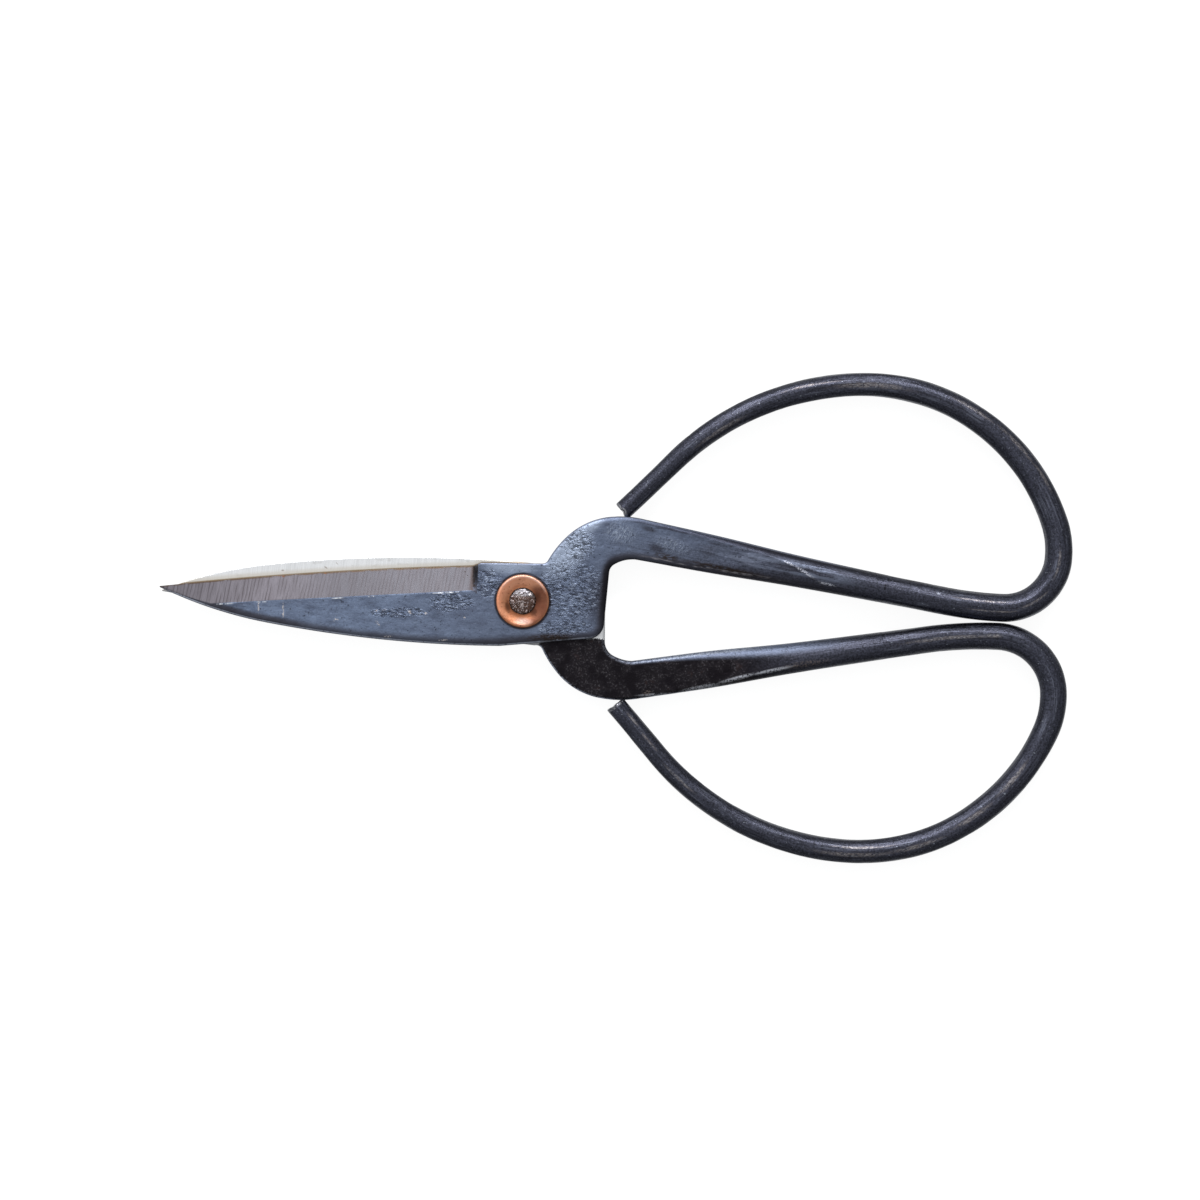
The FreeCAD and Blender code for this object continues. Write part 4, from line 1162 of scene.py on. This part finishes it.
# Worn streaks and painted highlight lines on the rods: distance from the weld, offset to the rod's left,
# half-length and half-width. They are centred at STREAK_HEIGHT over the rod's middle.
FRONT_WEAR_AND_HIGHLIGHTS = [(106.0, 0.3, 12.0, 0.85), (83.0, -1.2, 7.0, 0.55), (71.0, -1.4, 8.0, 0.6),
                 (62.0, -1.6, 5.0, 0.5), (141.0, 0.9, 9.0, 0.6), (43.0, 0.1, 5.0, 0.45),
                 (33.0, -0.4, 5.0, 0.45), (22.0, 1.2, 9.0, 0.3), (24.0, -0.9, 8.0, 0.3),
                 (119.0, -0.9, 9.0, 0.3)]
BACK_WEAR_AND_HIGHLIGHTS = [(14.0, 0.1, 13.0, 0.6), (24.0, -0.1, 3.0, 0.6), (66.0, 0.7, 7.0, 0.7), (78.0, 0.3, 7.0, 0.7),
                (92.0, -0.4, 9.0, 0.65), (106.0, -0.6, 12.0, 0.7), (104.0, 1.0, 10.0, 0.35),
                (164.5, 0.9, 2.8, 0.5), (158.5, 0.5, 4.0, 0.45), (148.0, -0.2, 6.0, 0.5)]
STREAK_HEIGHT = 2.4


def black_rod(name, wear_and_highlights_seen, outward):
    """Black oxide on the drawn rod, with worn streaks and painted highlight dots along the side seen from the
    front, and painted glints.
    """
    paint = Paint(name, (0.06, 0.06, 0.08), ROD_ROUGHNESS[0])
    paint.grain = paint.attribute("grain", "Vector")
    fine, streaks, black = oxide(paint)
    paint.colour = black
    patchy = paint.ramp(paint.noise(paint.grain, (5.0, 2.0, 2.0), detail=3), 0.45, 0.6)
    paint.tint((0.13, 0.14, 0.18), paint.ramp(streaks, 0.54, 0.62), patchy, 0.55)
    paint.tint((0.02, 0.02, 0.026), paint.ramp(streaks, 0.46, 0.38), 0.5)
    end = paint.both(paint.near(paint.attribute("end_mm"), 0.15, 0.5), paint.ramp(fine, 0.4, 0.52))
    paint.tint((0.3, 0.3, 0.32), end, 0.8)
    worn = paint.either(*[paint.blot(*row, 0, paint.grain, STREAK_HEIGHT * outward) for row in wear_and_highlights_seen])
    ragged = paint.ramp(paint.noise(paint.grain, (1.6, 0.5, 0.5), detail=4), 0.38, 0.6)
    paint.tint((0.125, 0.11, 0.112), worn, ragged, 0.75)
    # Bright dots on the worn streaks are painted highlights.
    highlight_dots = paint.ramp(paint.noise(paint.grain, (0.6, 0.2, 0.2), detail=4, rough=0.65), 0.48, 0.58)
    paint.tint((0.24, 0.228, 0.235), worn, worn, highlight_dots, 0.9)
    # Bright specks all over the rod are painted glints.
    specks = paint.ramp(paint.noise(paint.place, 0.5, detail=3), 0.66, 0.72)
    paint.tint((0.26, 0.28, 0.33), specks, 0.7)
    paint.height(0.03, fine)
    paint.height(0.06, streaks)
    paint.height(0.06, paint.noise(paint.grain, (2.0, 0.9, 0.9), detail=2))
    paint.gloss(ROD_ROUGHNESS[1], paint.ramp(fine, 0.25, 0.75))
    return paint.finish()


def copper():
    """Warm copper: a painted pink highlight on the rim, brown with age in parts of the dish, and painted
    light and shade.
    """
    paint = Paint("aged_copper", (0.56, 0.25, 0.14), 0.3)
    place = paint.place
    x, y, _ = paint.parts(place)
    out = paint.add("VectorMath", {0: paint.scaled(place, (1, 1, 0))}, operation="LENGTH").outputs["Value"]
    blotch = paint.noise(place, 1.5, detail=5, rough=0.6)
    fine = paint.noise(place, 0.3, detail=4)
    paint.tint((0.4, 0.14, 0.07), paint.ramp(blotch, 0.38, 0.62, 0, 0.8))
    lit = paint.ramp(paint.sum("SUBTRACT", y, paint.both(x, 0.2)), 0.0, 4.0)
    # Patina round the rivet, weaker towards the lit upper left: partly painted shade.
    ring = paint.both(paint.ramp(out, 4.6, 3.3), paint.ramp(lit, 0, 1, 0.75, 0.3))
    paint.tint((0.2, 0.068, 0.03), ring)
    paint.tint((0.72, 0.35, 0.22), lit, paint.ramp(out, 3.1, 4.3), 0.6)
    # A painted highlight on the left of the rim.
    left = paint.both(paint.near(out, 5.3, 1.1), paint.ramp(x, 0.0, -3.5), paint.ramp(y, -4.5, -1.5))
    paint.tint((0.78, 0.33, 0.19), left, 0.7)
    right = paint.both(paint.ramp(x, 0.8, 3.0), paint.ramp(out, 5.8, 5.2), paint.ramp(y, 4.4, 2.6))
    paint.tint((0.11, 0.04, 0.026), right, 0.85)
    specks = paint.ramp(paint.noise(place, 0.4, detail=3), 0.6, 0.68)
    paint.tint((0.12, 0.045, 0.03), specks, 0.6)
    stain = paint.marks([(2.6, -2.4, 1.7, 1.3, -30), (3.0, 0.8, 1.5, 2.0, 0), (-3.2, -1.4, 1.0, 2.2, 20)])
    paint.tint((0.06, 0.026, 0.016), stain, paint.ramp(blotch, 0.4, 0.5), 0.8)
    # A painted pink highlight on the top of the rim.
    top = paint.both(paint.near(out, 5.35, 0.4), paint.ramp(y, 1.5, 4.0))
    paint.tint((0.6, 0.38, 0.31), top, 0.7)
    # A painted highlight in the lower dish.
    paint.tint((0.36, 0.27, 0.25), paint.blot(0.3, -4.5, 3.0, 1.3, 0), 0.8)
    paint.tint((0.07, 0.03, 0.02), paint.ramp(out, 5.66, 5.84, 0, 0.85))
    paint.height(0.07, blotch)
    paint.height(0.014, fine)
    paint.gloss(0.4, paint.ramp(blotch, 0.35, 0.65))
    return paint.finish()


def rivet_steel():
    """Bright hammered steel, brown in the crevices."""
    paint = Paint("peened_steel", (0.5, 0.47, 0.48), 0.28)
    place = paint.place
    out = paint.add("VectorMath", {0: paint.scaled(place, (1, 1, 0))}, operation="LENGTH").outputs["Value"]
    y = paint.parts(place)[1]
    bent = paint.noise(place, 1.1, detail=2, rough=0.5, twist=1.2)
    crack = paint.near(bent, 0.5, 0.05)
    blotch = paint.noise(place, 0.5, detail=4, rough=0.6)
    lower = paint.ramp(y, 1.5, 0.5)
    cells = paint.add("TexVoronoi", {"Vector": paint.scaled(place, (0.75, 0.75, 0.75)), "Scale": 1.0})
    paint.tint((0.22, 0.215, 0.25), paint.ramp(paint.parts(cells.outputs["Color"])[0], 0.35, 0.6, 0, 0.6))
    paint.tint((0.5, 0.38, 0.35), lower, 0.6)
    crevice = paint.either(paint.both(crack, 0.9), paint.both(paint.ramp(blotch, 0.56, 0.49), lower))
    paint.tint((0.06, 0.03, 0.02), crevice, 0.95)
    ridge = paint.both(paint.blot(0.1, -0.8, 0.4, 2.0, 3), paint.ramp(blotch, 0.38, 0.5))
    paint.tint((0.5, 0.44, 0.43), ridge)
    paint.tint((0.07, 0.04, 0.03), paint.ramp(out, 2.5, 2.9, 0, 0.75))
    paint.height(-0.12, crevice)
    paint.height(0.05, blotch)
    paint.height(0.2, bent)
    paint.height(0.12, cells.outputs["Distance"])
    paint.gloss(0.55, crevice)
    return paint.finish()


# --- stage --------------------------------------------------------------------------------------

FLOOR_SIZE = 6.0
FLOOR_WHITE = 0.15       # share of the light that the floor gives back,
FLOOR_GLOW = 0.91        # and its own glow, which keeps it white under the snips
SKY_TOWARDS = (-0.3, 0.6, 0.74)   # the surroundings are brightest here, behind the snips' left
SKY_DARK = 0.3
SKY_MIDDLE = 0.8
SKY_BRIGHT = 0.75        # more light, in a broad glow round the brightest place
RIM_GLOW = 0.6           # light from low down that draws the thin rims
KEY_TOWARDS = (0.0, 0.74, 0.67)
KEY_DISTANCE = 0.9
KEY_SIZE = (0.8, 0.15)
KEY_RADIANCE = 13.0
VIEW_CENTRE = (16.83, 0.90)   # over this place of the snips, in millimetres
VIEW_TURN = 2.3               # degrees
VIEW_WIDTH = 262.6
LENS = 100.0
SENSOR = 36.0


def floor():
    """A plain white floor. It is left out of reflections, as a floor far below would be."""
    mesh = bpy.data.meshes.new("studio_floor")
    corners = [(x * FLOOR_SIZE, y * FLOOR_SIZE, 0) for x, y in ((-1, -1), (1, -1), (1, 1), (-1, 1))]
    mesh.from_pydata(corners, [], [(0, 1, 2, 3)])
    plane = bpy.data.objects.new("studio_floor", mesh)
    bpy.context.scene.collection.objects.link(plane)
    white = bpy.data.materials.new("white_paper")
    white.use_nodes = True
    shader = white.node_tree.nodes["Principled BSDF"]
    shader.inputs["Base Color"].default_value = (FLOOR_WHITE, FLOOR_WHITE, FLOOR_WHITE, 1)
    shader.inputs["Roughness"].default_value = 1.0
    shader.inputs["Specular IOR Level"].default_value = 0.0
    shader.inputs["Emission Color"].default_value = (1, 1, 1, 1)
    shader.inputs["Emission Strength"].default_value = FLOOR_GLOW
    mesh.materials.append(white)
    plane.visible_glossy = False


def key_light():
    """A soft box behind the snips, facing them."""
    lamp = bpy.data.lights.new("key", "AREA")
    lamp.shape = "RECTANGLE"
    lamp.size, lamp.size_y = KEY_SIZE
    lamp.energy = KEY_RADIANCE * math.pi * KEY_SIZE[0] * KEY_SIZE[1]
    light = bpy.data.objects.new("key", lamp)
    bpy.context.scene.collection.objects.link(light)
    towards = Vector(KEY_TOWARDS).normalized()
    light.location = towards * KEY_DISTANCE
    light.rotation_euler = (-towards).to_track_quat("-Z", "Y").to_euler()


def surroundings():
    """White walls: bright above and behind, dark in front, with a low glow all round."""
    world = bpy.data.worlds.new("studio")
    world.use_nodes = True
    nodes, links = world.node_tree.nodes, world.node_tree.links

    def add(kind, **settings):
        node = nodes.new("ShaderNode" + kind)
        for key, setting in settings.items():
            setattr(node, key, setting)
        return node

    def ramp(value, low, high, to_low, to_high):
        node = add("MapRange", interpolation_type="SMOOTHSTEP")
        links.new(value, node.inputs["Value"])
        for key, number in (("From Min", low), ("From Max", high), ("To Min", to_low), ("To Max", to_high)):
            node.inputs[key].default_value = number
        return node.outputs["Result"]

    towards = add("TexCoord").outputs["Generated"]
    facing = add("VectorMath", operation="DOT_PRODUCT")
    links.new(towards, facing.inputs[0])
    facing.inputs[1].default_value = Vector(SKY_TOWARDS).normalized()
    split = add("SeparateXYZ")
    links.new(towards, split.inputs[0])
    total = ramp(facing.outputs["Value"], -0.7, 0.75, SKY_DARK, SKY_MIDDLE)
    for part in (ramp(facing.outputs["Value"], 0.6, 1.0, 0.0, SKY_BRIGHT),
                 ramp(split.outputs["Z"], -0.55, -0.85, 0.0, RIM_GLOW)):
        both = add("Math", operation="ADD")
        links.new(total, both.inputs[0])
        links.new(part, both.inputs[1])
        total = both.outputs[0]
    links.new(total, nodes["Background"].inputs["Strength"])
    nodes["Background"].inputs["Color"].default_value = (0.97, 0.985, 1, 1)
    bpy.context.scene.world = world


def camera():
    """Straight down on the snips, turned a little, through a long lens."""
    data = bpy.data.cameras.new("view")
    data.lens = LENS
    data.sensor_width = SENSOR
    view = bpy.data.objects.new("view", data)
    bpy.context.scene.collection.objects.link(view)
    distance = VIEW_WIDTH * LENS / SENSOR + MIDDLE
    view.location = Vector((*VIEW_CENTRE, distance)) * MM
    view.rotation_euler = (0, 0, math.radians(VIEW_TURN))
    bpy.context.scene.camera = view


def main():
    """Builds the two halves, the washers and the rivet, and lights them."""
    bevel, inner = ground_bevel(), inner_face()
    for half, streaks, outward in (("front", FRONT_WEAR_AND_HIGHLIGHTS, 1), ("back", BACK_WEAR_AND_HIGHLIGHTS, -1)):
        forging(half, [forged_steel(f"forged_blue_steel_{half}", half == "front"), bevel, inner])
        bow(half, [black_rod(f"black_oxide_rod_{half}", streaks, outward)])
    red = copper()
    washer("front_copper_washer", "front_washer", 3.0, red)
    washer("back_copper_washer", "back_washer", 8.0, red)
    rivet(rivet_steel())
    surroundings()
    key_light()
    floor()
    camera()
    bpy.context.scene.view_settings.view_transform = "Standard"


main()
